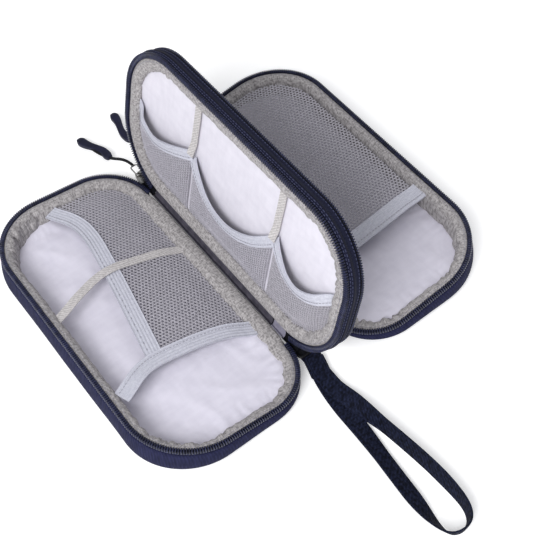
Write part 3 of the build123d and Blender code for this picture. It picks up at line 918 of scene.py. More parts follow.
@dataclass
class ZipHalf:
    """One half of a coil zip: its teeth, the cord that they wind round, painted near-black as shade between the
    teeth, its tape and the stitches.

    Heights are from the top of the teeth down; the tape stands like the wall that it is sewn to.
    """

    name: str
    body: str
    rim: Rim
    top: float = 0.0
    tape_low: float = -4.7
    pitch: float = 1.32
    tooth: tuple[float, float, float] = (0.74, 3.0, 2.2)
    inward: float = 0.0
    core: float = 0.8

    def build(self, place: Placement) -> None:
        """Make the whole half in a leaf's frame."""
        self.teeth(place)
        self.tape(place)
        self.stitches(place)

    def teeth(self, place: Placement) -> None:
        """The coil's loops, each a rounded finger with a wider head."""
        bm = bmesh.new()
        lozenge(bm, self.tooth, 0.24)
        for vert in bm.verts:
            vert.co.y *= 1.0 - 0.14 * ease(-0.1, 0.9, vert.co.z)
        lean = Matrix.Rotation(math.radians(7), 4, "Y")
        stops = self.rim.zipped(self.pitch)
        rise = self.top - self.tooth[2] / 2 - 0.05
        repeat(bm, [rim_matrix(stop, -self.inward, rise) @ lean for stop in stops])
        Piece(f"{self.name}_coil", COIL, self.body, [f"{self.name}_chain"]).made(bm, place)
        # The core under the loops is near-black: painted shade that makes the gaps between the loops read dark.
        corners = ((1, 0.45), (-1, 0.45), (-1, -0.75), (1, -0.75))
        core = [(side * self.core, 0.0, self.top - 1.35 + rise) for side, rise in corners]
        bm = rod(self.rim.zipped(2.0), core)
        Piece(f"{self.name}_coil_core", BLACK_AND_SHADE, self.body).made(bm, place)

    def tape(self, place: Placement) -> None:
        """The woven tape, with the folded edge that the wall is sewn over."""
        top, low = self.top, self.top + self.tape_low
        outer = [(0.45, 0, top - 2.2), (0.62, 0, top - 2.5), (0.66, 0, low + 1.2), (0.5, 0, low)]
        bm = rod(self.rim.zipped(1.6), [*outer, (-0.45, 0, low), (-0.5, 0, top - 2.2)])
        Piece(f"{self.name}_tape_cloth", TAPE, self.body, [f"{self.name}_tape"]).made(bm, place)

    def stitches(self, place: Placement) -> None:
        """The row of thread that holds the coil to its tape."""
        places = [rim_matrix(stop, 0.72, self.top - 2.95) for stop in self.rim.zipped(1.9)]
        bm = stitch_row((1.25, 0.34, 0.42), 0.12, places)
        Piece(f"{self.name}_stitches", THREAD, self.body).made(bm, place)


# ---- trays ------------------------------------------------------------------------------------


@dataclass
class Tray:
    """A padded tray that is shallow at the spine and deep at its zip."""

    name: str
    body: str
    place: Placement
    rim: Rim = TRAY_RIM
    seed: float = 1.0
    rim_height: float = 8.0
    lining_top: float = 3.8

    def inner_floor(self, point: Vector) -> float:
        """The height of the lining under a point, in the tray's frame."""
        return (self.lining_top - self.place.origin.z / MM - point.x * math.sin(WEDGE)) / math.cos(WEDGE)

    def net_shade(self, x: float, y: float) -> float:
        """How far a point of the lining lies under a net, from 0 to 1: it paints shade on the satin there and
        flattens its relief.
        """
        return 0.0

    def level(self, x: float, y: float, height: float) -> float:
        """A height above the ground as a height in the tray's frame."""
        return self.inner_floor(Vector((x, y, 0))) + (height - self.lining_top) / math.cos(WEDGE)

    def shell(self) -> None:
        """The wall, piping, outer cover, padded band, lining and zip half."""
        self.wall()
        self.piping()
        self.cover()
        self.band()
        self.lining()
        ZipHalf(self.name, self.body, self.rim).build(self.place)
        board = frame["nodes"][f"{self.name}_board"]
        board.data.materials.clear()
        board.data.materials.append(FOAM.material())

    def wall(self) -> None:
        """The twill wall, which swells a little between the zip and the piping."""
        profile = [
            (0.45, 0.0, -4.15),
            (0.98, 0.0, -4.3),
            (1.3, 0.02, -4.9),
            (1.75, 0.35, -4.2),
            (1.8, 0.6, -4.0),
            (1.45, 0.85, -3.5),
            (0.75, 1.0, -2.3),
            (-0.35, 1.0, -3.0),
            (-1.4, 1.0, -2.7),
            (-0.8, 0.8, -1.8),
            (-0.75, 0.0, -4.4),
        ]

        def bend(point: Vector, station: Station, girth: float, side: float) -> Vector:
            """Rise to the tray's edge along the spine, and ripple softly elsewhere."""
            low = self.inner_floor(point)
            upper = ease(low, -4.0, point.z)
            point = point + Vector((0, 0, 1.9 * upper * self.rim.spine_share(station.run)))
            swell = 0.35 * hum(station.run * 0.045, point.z * 0.15, self.seed) * ease(1.0, 1.6, side)
            return point + station.side * swell

        bm = hoop(self.rim, 1.8, profile, self.inner_floor, bend)
        wall = Piece(f"{self.name}_twill_wall", TWILL, self.body, [f"{self.name}_wall"], levels=1)
        wall.made(bm, self.place)

    def piping(self) -> None:
        """The round piping along the seam between wall and cover."""
        bm = hoop(self.rim, 2.4, circle(1.12, 10, -1.85, -2.6, 1.0), self.inner_floor)
        piping = Piece(f"{self.name}_edge_piping", PIPING, self.body, [f"{self.name}_piping"], levels=1)
        piping.made(bm, self.place)

    def cover(self) -> None:
        """The outer cover, flat where it rests and rounded up to its piping."""
        bm = bmesh.new()
        panel(bm, self.rim, 2.5, 2.6)
        for vert in bm.verts:
            over, _ = self.rim.beyond(vert.co.x, vert.co.y, -2.5)
            lift = 0.9 * (1 - ease(0.0, 5.0, -over))
            lift += 0.12 * (1 + hum(vert.co.x * 0.08, vert.co.y * 0.08, self.seed))
            vert.co.z = self.level(vert.co.x, vert.co.y, 0.45 + lift)
        cover = Piece(f"{self.name}_outer_cover", TWILL, self.body, [f"{self.name}_cover"], 0.8, 1)
        cover.made(bm, self.place)

    def band(self) -> None:
        """The padded heathered band inside the rim, puckered where it is gathered round the corners."""
        profile = [
            (-0.95, 0.0, -3.4),
            (-0.85, 0.0, -1.9),
            (-1.6, 0.0, -1.25),
            (-3.2, 0.0, -1.15),
            (-4.9, 0.04, -1.35),
            (-6.4, 0.12, -1.75),
            (-7.5, 0.34, -1.5),
            (-8.2, 0.68, -0.8),
            (-8.6, 0.96, 0.25),
            (-8.0, 1.0, -0.5),
            (-3.0, 1.0, -0.5),
            (-0.95, 1.0, -0.3),
        ]

        def bend(point: Vector, station: Station, girth: float, side: float) -> Vector:
            """Gather the inner side into folds, and roll the band over the spine edge."""
            corner, spine = self.rim.corner_share(station.run), self.rim.spine_share(station.run)
            inner = ease(2.2, 6.5, -side) * ease(-9.2, -8.4, side) + 0.12
            deep = rumple(station.run, girth, self.seed, 0.42 + 0.9 * corner)
            point = point + station.up * (0.6 * deep * inner) - station.side * (0.75 * deep * inner)
            outer = ease(-3.4, -0.9, side) * spine
            return point + station.side * 1.9 * outer + station.up * 0.1 * outer

        bm = hoop(self.rim, 0.9, profile, self.inner_floor, bend)
        padding = Piece(f"{self.name}_padded_band", HEATHER, self.body, [f"{self.name}_band"], levels=1)
        padding.made(bm, self.place)
        bm = stitch_row(BAND_STITCH, 0.08, [rim_matrix(stop, -2.55, -1.14) for stop in self.rim.zipped(2.5)])
        Piece(f"{self.name}_band_stitches", PALE_THREAD, self.body).made(bm, self.place)

    def lining(self) -> None:
        """The satin lining, dished towards its edge, with soft drawn wrinkles and painted shade under the net.
        """
        bm = bmesh.new()
        panel(bm, self.rim, 3.2, 1.5)
        shade = bm.verts.layers.float.new(NET_SHADE_ATTRIBUTE)
        for vert in bm.verts:
            over, outward = self.rim.beyond(vert.co.x, vert.co.y, -8.5)
            x, y = vert.co.x, vert.co.y
            dish = 0.9 * ease(-9.0, 0.0, over) * (1 - ease(0.5, 3.0, over))
            broad = 0.6 * hum(x * 0.035, y * 0.05, self.seed + 5)
            drawn = 0.5 * crease(x * 0.05 + 0.02 * y, y * 0.028, self.seed + 7)
            pleat = math.sin((outward.y * x - outward.x * y) * 0.9 + 3 * hum(x * 0.1, y * 0.1))
            edge = 0.28 * ease(-14, -2, over) * pleat * (over < 1.5)
            # Painted shade: this attribute darkens the satin where it lies under the net.
            vert[shade] = self.net_shade(x, y)
            relief = (dish + broad + drawn + edge) * (1 - 0.6 * vert[shade])
            vert.co.z = self.inner_floor(vert.co) + relief - 0.1
        satin = Piece(f"{self.name}_satin_lining", SATIN, self.body, [f"{self.name}_lining"], 0.3, 1)
        lining = satin.made(bm, self.place)

    def net(self, keep: Inside, slack: Height, low: Vector, high: Vector) -> None:
        """A net pocket drawn over part of the tray.

        Args:
            keep: Says where the net is.
            slack: Its height in the tray's frame.
            low: The lowest corner that it reaches.
            high: The highest.
        """
        bm = bmesh.new()
        netting(bm, low, high, COARSE_KNIT, lambda x, y: keep(x, y) and self.rim.beyond(x, y, -8.0)[0] < 0)
        for vert in bm.verts:
            vert.co.z = max(slack(vert.co.x, vert.co.y), self.inner_floor(vert.co) + 1.15)
        cloth = Piece(f"{self.name}_net_cloth", NET, self.body, [f"{self.name}_net"], thick=0.34)
        net = cloth.made(bm, self.place)

    def tuck(self, x: float, y: float) -> float:
        """How far a point of a pocket is clear of the band, from 0 beside it to 1."""
        return ease(0.0, 13.0, -self.rim.beyond(x, y, -8.0)[0])


def ribbed(width: float, thick: float, ribs: int, valley: float = 0.36) -> Section:
    """The section of a strip of elastic with woven ribs on its upper face."""
    count = ribs * 4
    top = []
    for i in range(count + 1):
        dip = valley * (0.5 - 0.5 * math.cos(TURN * i / 4)) * (0 < i < count)
        top.append((width * (0.5 - i / count), 0.0, thick - dip))
    return [*top, (-width / 2, 0.0, 0.0), (width / 2, 0.0, 0.0)]


@dataclass
class Strip:
    """A strip of elastic or ribbon that follows a soft line across a leaf."""

    name: str
    finish: Finish
    body: str
    line: Sequence[tuple[float, float]]
    width: float
    thick: float
    height: Height
    ribs: int = 0
    replaces: Sequence[str] = ()
    thread: bool = True
    lean: float = 0.0

    def build(self, place: Placement) -> None:
        """Make the strip and its row of stitches."""
        plan = smooth_line(self.line, 90)
        raised = [Vector((p.x, p.y, self.height(p.x, p.y))) for p in plan]
        stations = line_stations(raised, twist=lambda share: self.lean * math.sin(math.pi * share))
        half, thick = self.width / 2, self.thick
        plain = [(half, 0, 0), (half, 0, thick), (-half, 0, thick), (-half, 0, 0)]
        bm = rod(stations, ribbed(self.width, thick, self.ribs) if self.ribs else plain, self.settle)
        Piece(self.name, self.finish, self.body, self.replaces).made(bm, place)
        if self.thread:
            self.stitches(place, stations)

    def settle(self, point: Vector, station: Station, girth: float, side: float) -> Vector:
        """A strip ripples a little where its thread draws it in."""
        return point + station.up * 0.1 * hum(station.run * 0.35, side * 0.2, self.width)

    def stitches(self, place: Placement, stations: Sequence[Station]) -> None:
        """A row of stitches just inside the strip's edge."""
        places = [rim_matrix(stop, self.width * 0.26, self.thick + 0.02) for stop in stations[2:-2:2]]
        bm = stitch_row((1.1, 0.28, 0.26), 0.08, places)
        Piece(f"{self.name}_stitches", PALE_THREAD, self.body).made(bm, place)


def across_at(line: Sequence[Vector], y: float) -> float:
    """The x of a line of points where it passes a y; the line runs one way along y."""
    for a, b in zip(line, line[1:]):
        if min(a.y, b.y) <= y <= max(a.y, b.y):
            return mix(a.x, b.x, (y - a.y) / (b.y - a.y or 1))
    return line[0].x if abs(y - line[0].y) < abs(y - line[-1].y) else line[-1].x


@dataclass
class FrontTray(Tray):
    """The tray with a net pocket along the spine, a holding band and a divider ribbon."""

    edge: Sequence[tuple[float, float]] = ((53.5, -86), (44.5, -64), (48.0, -30), (59.5, 31))
    arch: Sequence[tuple[float, float]] = ((5.5, 47), (24, 39.5), (46, 35.5), (67, 35), (87.0, 43.3))
    ribbon: Sequence[tuple[float, float]] = ((4.5, -20), (25, -26), (55, -29), (89.5, -17))

    @cached_property
    def edge_line(self) -> list[Vector]:
        """The net's elastic edge."""
        return smooth_line(self.edge, 60)

    @cached_property
    def arch_line(self) -> list[Vector]:
        """The holding band, with its x and y swapped."""
        return [Vector((p.y, p.x, 0)) for p in smooth_line(self.arch, 60)]

    def net_shade(self, x: float, y: float) -> float:
        """How far a point lies under the net, from 0 to 1, for the painted shade on the lining."""
        return ease(-3, 4, across_at(self.edge_line, y) - x) * ease(-3, 4, across_at(self.arch_line, x) - y)

    def build(self) -> None:
        """Make the tray and everything in it."""
        self.shell()

        def keep(x: float, y: float) -> bool:
            """Between the spine, the elastic edge and the holding band."""
            return x < across_at(self.edge_line, y) - 2.0 and y < across_at(self.arch_line, x) - 2.0

        def slack(x: float, y: float) -> float:
            """Low where it is sewn in, lifted towards the elastic."""
            swell = 1.1 + 0.5 * hum(x * 0.05, y * 0.05, 2.0)
            return -4.3 + self.tuck(x, y) * swell + 0.25 * ease(20, 50, x)

        self.net(keep, slack, Vector((4, -90, 0)), Vector((62, 48, 0)))

        def height(x: float, y: float) -> float:
            """The elastic lies on the net's edge."""
            return -4.2 + 1.2 * self.tuck(x, y)

        def over_elastic(x: float, y: float) -> float:
            """The ribbon climbs over the elastic that it crosses."""
            return height(x, y) + 0.3 + 1.15 * math.exp(-(((x - 49) / 13) ** 2))

        def on_top(x: float, y: float) -> float:
            """The holding band lies just above the net's elastic."""
            return height(x, y) + 0.35

        for name, finish, line, wide, thick, level, ribs, node in (
            ("front_pocket_elastic", ELASTIC, self.edge, 9.0, 0.9, height, 5, "front_net_elastic"),
            ("front_holding_band", ELASTIC, self.arch, 9.0, 1.0, on_top, 5, "front_holder"),
            ("front_divider_ribbon", RIBBON, self.ribbon, 5.0, 0.5, over_elastic, 0, "front_ribbon"),
        ):
            strip = Strip(name, finish, self.body, line, wide, thick, level, ribs, [node], thread=ribs > 0)
            strip.build(self.place)


@dataclass
class RearTray(Tray):
    """The tray with a net pocket over its far part and a straight elastic."""

    mouth: float = -33.0
    elastic: float = 10.5

    def net_shade(self, x: float, y: float) -> float:
        """How far a point lies under the net or its elastic, from 0 to 1, for the painted shade on the lining.
        """
        return 0.6 * ease(self.mouth - self.elastic - 2, self.mouth, y)

    def build(self) -> None:
        """Make the tray and everything in it."""
        self.shell()
        low = -4.4

        def slack(x: float, y: float) -> float:
            """Low round the band, with a gentle swell over what it holds."""
            return low + self.tuck(x, y) * (1.3 + 0.6 * hum(x * 0.04, y * 0.04, 9.0))

        corners = Vector((4, self.mouth - 3, 0)), Vector((90, 90, 0))
        self.net(lambda x, y: y > self.mouth - 1.0, slack, *corners)
        middle = self.mouth - self.elastic / 2
        Strip(
            "rear_pocket_elastic",
            ELASTIC,
            self.body,
            [(5.0, middle), (35, middle - 0.6), (65, middle - 0.4), (89, middle)],
            self.elastic,
            0.9,
            lambda x, y: low + 0.15 + 1.3 * self.tuck(x, y),
            6,
            ["rear_net_elastic"],
        ).build(self.place)


# ---- middle leaf ------------------------------------------------------------------------------


@dataclass
class LeafPocket:
    """One net pocket of the middle leaf: its mouth as (height up the leaf, place along it)."""

    name: str
    mouth: Sequence[tuple[float, float]]
    finish: Finish
    bulge: float = 4.4
    band: float = 6.5

    def bow(self, y: float) -> float:
        """How far the pocket stands open between its two seams, from 0 to 1."""
        low, high = sorted((self.mouth[0][1], self.mouth[-1][1]))
        return max(0.0, math.sin(math.pi * min(1.0, max(0.0, (y - low) / (high - low))))) ** 0.6


@dataclass
class MiddleLeaf:
    """The stiff leaf between the trays, with a zip half, a padded band and pockets on each face."""

    body: str = "middle_leaf"
    rim: Rim = LEAF_RIM
    place: Placement = LEAF_PLACE
    half: float = 5.75
    pockets: Sequence[LeafPocket] = (
        LeafPocket("far", ((54, 90), (45.5, 75), (43.5, 60), (53, 34.5)), PALE_NET),
        LeafPocket("middle", ((51.5, 32.5), (39.5, 16), (35, -3), (40, -22), (51.5, -37.5)), PALE_NET),
        LeafPocket("near", ((55, -39.5), (43.5, -55), (43.5, -70), (57, -90)), NET),
    )

    def build(self) -> None:
        """Make the leaf and everything on it."""
        self.gusset()
        board = frame["nodes"]["leaf_board"]
        board.data.materials.clear()
        board.data.materials.append(FOAM.material())
        faces = ("leaf_front", self.place, 20.0), ("leaf_rear", self.place.flipped(), 30.0)
        for name, place, seed in faces:
            zip_half = ZipHalf(name, self.body, self.rim, self.half, -3.6)
            zip_half.tooth, zip_half.inward, zip_half.core = (0.7, 3.5, 1.7), 0.45, 0.7
            zip_half.build(place)
            self.band(name, place, seed)
            self.lining(name, place, seed)
        for pocket in self.pockets:
            self.front_pocket(pocket)
        for name, y in (("far", 33.5), ("near", -38.5)):
            line = [(51.0, y), (62.0, y + 0.4), (74.0, y), (86.5, y)]
            node = f"pocket_ribbon_{name}"
            high = self.ribbon_height
            ribbon = Strip(f"leaf_ribbon_{name}", RIBBON, self.body, line, 5.0, 0.5, high, 0, [node])
            ribbon.thread = False
            ribbon.build(self.place)
        self.rear_pocket()

    @staticmethod
    def ribbon_height(x: float, y: float) -> float:
        """A ribbon lies on the lining and climbs to the pockets' mouths at its foot."""
        return 2.0 + 2.6 * (1 - ease(50, 60, x))

    def gusset(self) -> None:
        """The navy gusset between the two zips, with its stitched welt and a groove by the rear zip."""
        profile = [
            (0.75, 0, -2.5),
            (1.15, 0, -1.9),
            (0.55, 0, -1.2),
            (1.0, 0, -0.6),
            (1.2, 0, 0.1),
            (1.15, 0, 1.6),
            (0.85, 0, 2.5),
            (-0.7, 0, 2.4),
            (-0.7, 0, -2.4),
        ]
        bm = hoop(self.rim, 1.8, profile)
        Piece("leaf_gusset_cloth", GUSSET, self.body, ["leaf_gusset"], levels=1).made(bm, self.place)
        bm = hoop(self.rim, 2.4, circle(0.5, 8, 1.3, 0.85))
        Piece("leaf_welt_cord", PIPING, self.body, ["leaf_welt"], levels=1).made(bm, self.place)
        bm = stitch_row((1.5, 0.3, 0.36), 0.1, [rim_matrix(stop, 1.26, 1.9) for stop in self.rim.zipped(2.3)])
        Piece("leaf_welt_stitches", THREAD, self.body).made(bm, self.place)

    def band(self, name: str, place: Placement, seed: float) -> None:
        """The padded heathered band inside one face's zip."""
        profile = [
            (-1.2, 0, 1.0),
            (-1.2, 0, 3.4),
            (-2.0, 0, 3.95),
            (-3.2, 0, 4.9),
            (-5.0, 0, 5.1),
            (-7.0, 0, 4.8),
            (-8.7, 0, 4.1),
            (-9.7, 0, 2.8),
            (-10.1, 0, 1.45),
            (-7.0, 0, 1.0),
        ]

        def bend(point: Vector, station: Station, girth: float, side: float) -> Vector:
            """Gather the band round its corners, most of all at the lower ones."""
            corner = self.rim.corner_share(station.run)
            lower = 1.0 + 0.7 * (station.at.x < 40)
            inner = ease(4.0, 9.0, -side) + 0.1
            deep = rumple(station.run, girth, seed, 0.32 + 0.75 * corner * lower)
            return point + station.up * 0.6 * deep * inner - station.side * 0.8 * deep * inner

        bm = hoop(self.rim, 0.9, profile, bend=bend)
        band = Piece(f"{name}_padded_band", HEATHER, self.body, [f"{name}_band"], levels=1).made(bm, place)
        bm = stitch_row(BAND_STITCH, 0.08, [rim_matrix(stop, -3.7, 5.0) for stop in self.rim.zipped(2.5)])
        Piece(f"{name}_band_stitches", PALE_THREAD, self.body).made(bm, place)

    def lining(self, name: str, place: Placement, seed: float) -> None:
        """The lining of one face, a lighter copy of the satin painted for the light on the leaf, drawn a little
        towards the ribbons.
        """
        bm = bmesh.new()
        panel(bm, self.rim, 1.6, 1.6)
        shade = bm.verts.layers.float.new(NET_SHADE_ATTRIBUTE)
        mouths = [(sorted((p.mouth[0][1], p.mouth[-1][1])), smooth_line(p.mouth, 50)) for p in self.pockets]
        for vert in bm.verts:
            x, y = vert.co.x, vert.co.y
            # Painted shade: the front face darkens under each pocket's net, the rear face under the rear
            # pocket.
            under = [ease(-1, 6, across_at(line, y) - x) for (low, high), line in mouths if low <= y <= high]
            vert[shade] = max(under, default=0.0) if name == "leaf_front" else ease(-2, 4, 50 - x)
            pull = sum(math.exp(-(((y - seam) / 9) ** 2)) for seam in (33.5, -38.5))
            wave = 0.28 * hum(x * 0.04, y * 0.045, seed)
            wave += 0.2 * crease(x * 0.04 + y * 0.02, y * 0.03, seed + 2)
            vert.co.z = 1.15 + wave - 0.15 * pull
        satin = Piece(f"{name}_satin_lining", LIT_SATIN, self.body, [f"{name}_lining"], 0.25, 1)
        lining = satin.made(bm, place)

    def front_pocket(self, pocket: LeafPocket) -> None:
        """A net pocket whose elastic mouth stands a little open."""
        line = smooth_line(pocket.mouth, 70)
        low_y, high_y = sorted((pocket.mouth[0][1], pocket.mouth[-1][1]))

        def height(x: float, y: float) -> float:
            """Sewn down along its seams and its foot, and open towards the mouth."""
            clear = ease(0.5, 9.0, -self.rim.beyond(x, y, -9.2)[0])
            climb = ease(2.0, 34.0, x)
            uneven = 0.2 * hum(x * 0.07, y * 0.07, 4.0)
            return 2.05 + pocket.bulge * pocket.bow(y) * (0.3 + 0.7 * climb) * clear + uneven

        def keep(x: float, y: float) -> bool:
            """Below the mouth, between the seams and inside the band."""
            return low_y < y < high_y and x < across_at(line, y) - 1.5 and self.rim.beyond(x, y, -8.6)[0] < 0

        bm = bmesh.new()
        netting(bm, Vector((2, low_y, 0)), Vector((60, high_y, 0)), FINE_KNIT, keep)
        for vert in bm.verts:
            vert.co.z = height(vert.co.x, vert.co.y)
        cloth = Piece(f"leaf_net_{pocket.name}", pocket.finish, self.body, [f"pocket_net_{pocket.name}"], 0.32)
        net = cloth.made(bm, self.place)
        drop = pocket.band * 0.5
        lowered = [(x - drop, y) for x, y in pocket.mouth]
        Strip(
            f"leaf_elastic_{pocket.name}",
            ELASTIC,
            self.body,
            lowered,
            pocket.band,
            0.8,
            lambda x, y: height(x + 2, y) + 0.1,
            3,
            [f"pocket_elastic_{pocket.name}"],
            lean=0.22,
        ).build(self.place)

    def rear_pocket(self) -> None:
        """The wide net pocket of the hidden face, closed by one straight elastic."""
        place = self.place.flipped()

        def height(x: float, y: float) -> float:
            """Flat on the lining at its foot and a little open at the mouth."""
            clear = ease(0.5, 10.0, -self.rim.beyond(x, y, -9.2)[0])
            return 2.0 + (1.2 + 2.4 * ease(4, 46, x)) * clear + 0.25 * hum(x * 0.05, y * 0.05, 8.0)

        def keep(x: float, y: float) -> bool:
            """Below the elastic and inside the band."""
            return x < 49 and self.rim.beyond(x, y, -8.6)[0] < 0

        bm = bmesh.new()
        netting(bm, Vector((2, -90, 0)), Vector((50, 90, 0)), MIDDLING_KNIT, keep)
        for vert in bm.verts:
            vert.co.z = height(vert.co.x, vert.co.y)
        net = Piece("leaf_net_rear", NET, self.body, ["pocket_net_rear"], thick=0.32).made(bm, place)
        Strip(
            "leaf_elastic_rear",
            ELASTIC,
            self.body,
            [(52, -87), (51.6, -30), (51.6, 30), (52, 87)],
            8.0,
            0.8,
            lambda x, y: height(x - 3, y) + 0.1,
            4,
            ["pocket_elastic_rear"],
        ).build(place)


# ---- spine ------------------------------------------------------------------------------------


@dataclass
class Spine:
    """The strip that the pouch stands on between its trays, its ends and its fabric hinges."""

    left: float = -11.75
    right: float = -1.95
    reach: float = 86.0
    valley: Sequence[tuple[float, float]] = (
        (-13.2, 6.9), (-12.7, 5.3), (-11.9, 4.9), (-11.1, 5.6), (-10.6, 7.4), (-10.2, 9.2)
    )

    def build(self) -> None:
        """Make the spine from the ground up."""
        self.base()
        self.inner_web()
        self.far_end()
        self.near_end()
        self.front_hinge()
        self.rear_hinge()

    @staticmethod
    def across(start: float, end: float, step: float = 2.0) -> list[Station]:
        """Stations along the spine; their side is +x and their up is +z."""
        count = max(2, round((end - start) / step))
        side, up = Vector((1, 0, 0)), Vector((0, 0, 1))
        along = [mix(start, end, i / count) for i in range(count + 1)]
        return [Station(Vector((0, y, 0)), side, up, step * i) for i, y in enumerate(along)]

    def strip(
        self,
        section: Sequence[tuple[float, float]],
        start: float,
        end: float,
        seed: float,
        ripple: float = 0.25,
        ribs: float = 0.0,
    ) -> bmesh.types.BMesh:
        """A strip of cloth along the spine, from its section in the plane across it.

        Args:
            section: The section's points as (x, z).
            start: Where the strip begins along the spine.
            end: Where it ends.
            seed: Picks its ripples.
            ripple: How high they are.
            ribs: How high its woven ribs are.

        Returns:
            The strip's mesh.
        """
        bm = bmesh.new()

        def bend(point: Vector, station: Station, girth: float, side: float) -> Vector:
            """Small ripples, as cloth has where it is folded, and ribs across it."""
            wave = ripple * hum(point.y * 0.16, girth * 0.3, seed) + ribs * math.sin(point.y * TURN / 2.6)
            return point + Vector((0.4, 0, 1)) * wave

        stops = self.across(start, end, 0.65 if ribs else 2.0)
        loft(bm, stops, [(x, 0, z) for x, z in section], closed_profile=False, bend=bend)
        return bm

    def base(self) -> None:
        """The twill strip that lies on the ground."""
        middle, wide = (self.left + self.right) / 2, (self.right - self.left) / 2
        edge = ((1, 0.25), (1, 0.95), (0.6, 1.2), (-0.6, 1.2), (-1, 0.95), (-1, 0.25), (0, 0.08))
        bm = rod(self.across(-self.reach, self.reach), [(middle + wide * a, 0, z) for a, z in edge])
        Piece("spine_base_cloth", TWILL, "middle_leaf", ["spine_panel"], levels=1).made(bm, WORLD_PLACE)

    def inner_web(self) -> None:
        """The dark folded cloth that joins the middle leaf to the base."""
        section = ((-10.9, 1.3), (-9.9, 2.6), (-10.2, 5.4), (-5.6, 4.6), (-6.5, 2.6), (-5.9, 1.3))
        bm = rod(self.across(-56.0, 56.0), [(x, 0, z) for x, z in section])
        Piece("spine_inner_web", GUSSET, "middle_leaf", ["spine_web"], levels=1).made(bm, WORLD_PLACE)

    def end_cloth(self, name: str, finish: Finish, start: float, end: float) -> None:
        """Cloth that closes an end of the spine, folded down towards the open air.

        Args:
            name: The piece's name.
            finish: Its cloth.
            start: Where it begins along the spine.
            end: Its open end.
        """
        section = (-12.6, 1.4), (-11.0, 3.6), (-8.0, 4.3), (-4.4, 4.1), (-1.4, 3.0), (1.6, 1.3), (-5.5, 1.25)
        outward = 1 if end > start else -1

        def bend(point: Vector, station: Station, girth: float, side: float) -> Vector:
            """Fold the cloth down towards its open end."""
            drop = ease(outward * mix(start, end, 0.6), outward * end, outward * point.y)
            fold = 0.3 * math.sin(point.y * 0.65 + side * 0.5)
            return Vector((point.x, point.y, mix(point.z, 1.3, drop * 0.8) + fold * (point.z > 2)))

        low, high = sorted((start, end))
        bm = rod(self.across(low, high, 1.25), [(x, 0, z) for x, z in section], bend)
        Piece(name, finish, "middle_leaf", levels=1).made(bm, WORLD_PLACE)

    def far_end(self) -> None:
        """The brown-grey facing between the sliders, with a pale piped fold."""
        # The facing and its dark fold use the darker heather copy, with painted shade.
        self.end_cloth("spine_end_far", SHADY_HEATHER, 57.5, 78.5)
        for name, x, finish in (("light", -10.9, PALE_THREAD), ("dark", -8.9, SHADY_HEATHER)):
            line = smooth_line([(x + 0.6, 60), (x + 0.2, 67), (x - 0.4, 75)], 20)
            raised = [p + Vector((0, 0, 6.2 - 1.4 * ease(66, 75, p.y))) for p in line]
            bm = rod(line_stations(raised), circle(0.45 if name == "light" else 1.15, 8))
            Piece(f"spine_fold_{name}", finish, "middle_leaf", levels=1).made(bm, WORLD_PLACE)

    def near_end(self) -> None:
        """The black facing at the strap's end, over the strap's tab."""
        self.end_cloth("spine_end_near", BLACK_AND_SHADE, -57.5, -76.0)

    def front_hinge(self) -> None:
        """The cloth valley between the front tray's spine edge and the leaf's lower edge.

        Its middle is the lining's satin painted dark as shade in the valley, with a small paler patch near the
        strap, and its ends are black ribbed tape.
        """
        for name, finish, start, end, ribs in (
            ("cloth", SHADED_SPINE_SATIN, -50.0, 63.0, 0.0),
            ("patch", PATCH_SATIN, -61.0, -50.4, 0.0),
            ("ribs_far", BLACK_AND_SHADE, 63.4, 75.0, 0.28),
            ("ribs_near", BLACK_AND_SHADE, -72.0, -61.4, 0.28),
        ):
            bm = self.strip(self.valley, start, end, 41.0, ribs=ribs)
            stands_for = ["front_hinge_strip"] if name == "cloth" else []
            cloth = Piece(f"front_hinge_{name}", finish, "", stands_for, 0.6, 1)
            hinge = cloth.made(bm, WORLD_PLACE)
            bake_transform(hinge)

    def rear_hinge(self) -> None:
        """The rear gusset: cloth from the leaf to the roll, the roll, and the fold to the rear tray."""
        # All three pieces use the darker heather copy: painted shade in the gap between the leaf and the rear
        # tray.
        bm = self.strip([(-4.3, 8.2), (-3.9, 6.4), (-3.0, 5.9), (-1.9, 6.6), (-1.3, 7.0)], -60.0, 60.0, 42.0)
        upper = Piece("rear_hinge_cloth", SHADY_HEATHER, "", thick=0.5, levels=1).made(bm, WORLD_PLACE)
        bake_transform(upper)
        bm = rod(self.across(-64.0, 64.0), circle(0.95, 10, -1.352, 5.87))
        roll = Piece("rear_hinge_cord", SHADY_HEATHER, "rear_gusset", ["rear_hinge_roll"], levels=1)
        roll.made(bm, WORLD_PLACE)
        fold_section = [(-0.9, 6.3), (0.4, 5.1), (3.0, 4.2), (6.2, 4.4), (9.4, 5.0), (12.0, 5.6), (13.2, 6.6)]
        bm = self.strip(fold_section, -60.0, 60.0, 43.0, 0.4)
        cloth = Piece("rear_gusset_cloth", SHADY_HEATHER, "", ["rear_gusset_strip"], 0.5, 1)
        fold = cloth.made(bm, WORLD_PLACE)
        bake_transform(fold)


# ---- pulls and strap --------------------------------------------------------------------------


def nurbs_line(name: str, points: Sequence[tuple[float, float, float]], resolution: int = 10) -> list[Vector]:
    """The points of a smooth spline through loose control points, in metres."""
    data = bpy.data.curves.new(name, "CURVE")
    data.dimensions = "3D"
    data.resolution_u = resolution
    spline = data.splines.new("NURBS")
    spline.points.add(len(points) - 1)
    for knot, point in zip(spline.points, points):
        knot.co = (*point, 1.0)
    spline.order_u = 3
    spline.use_endpoint_u = True
    holder = bpy.data.objects.new(name, data)
    mesh = bpy.data.meshes.new_from_object(holder)
    line = [v.co.copy() for v in mesh.vertices]
    bpy.data.meshes.remove(mesh)
    bpy.data.objects.remove(holder)
    return line


def poured(part: bmesh.types.BMesh, into: bmesh.types.BMesh) -> None:
    """Move everything in one mesh to another; the first is used up."""
    mesh = bpy.data.meshes.new("part")
    part.to_mesh(mesh)
    part.free()
    into.from_mesh(mesh)
    bpy.data.meshes.remove(mesh)


def length_of(line: Sequence[Vector]) -> float:
    """The length of a line of points."""
    return sum((b - a).length for a, b in zip(line, line[1:]))


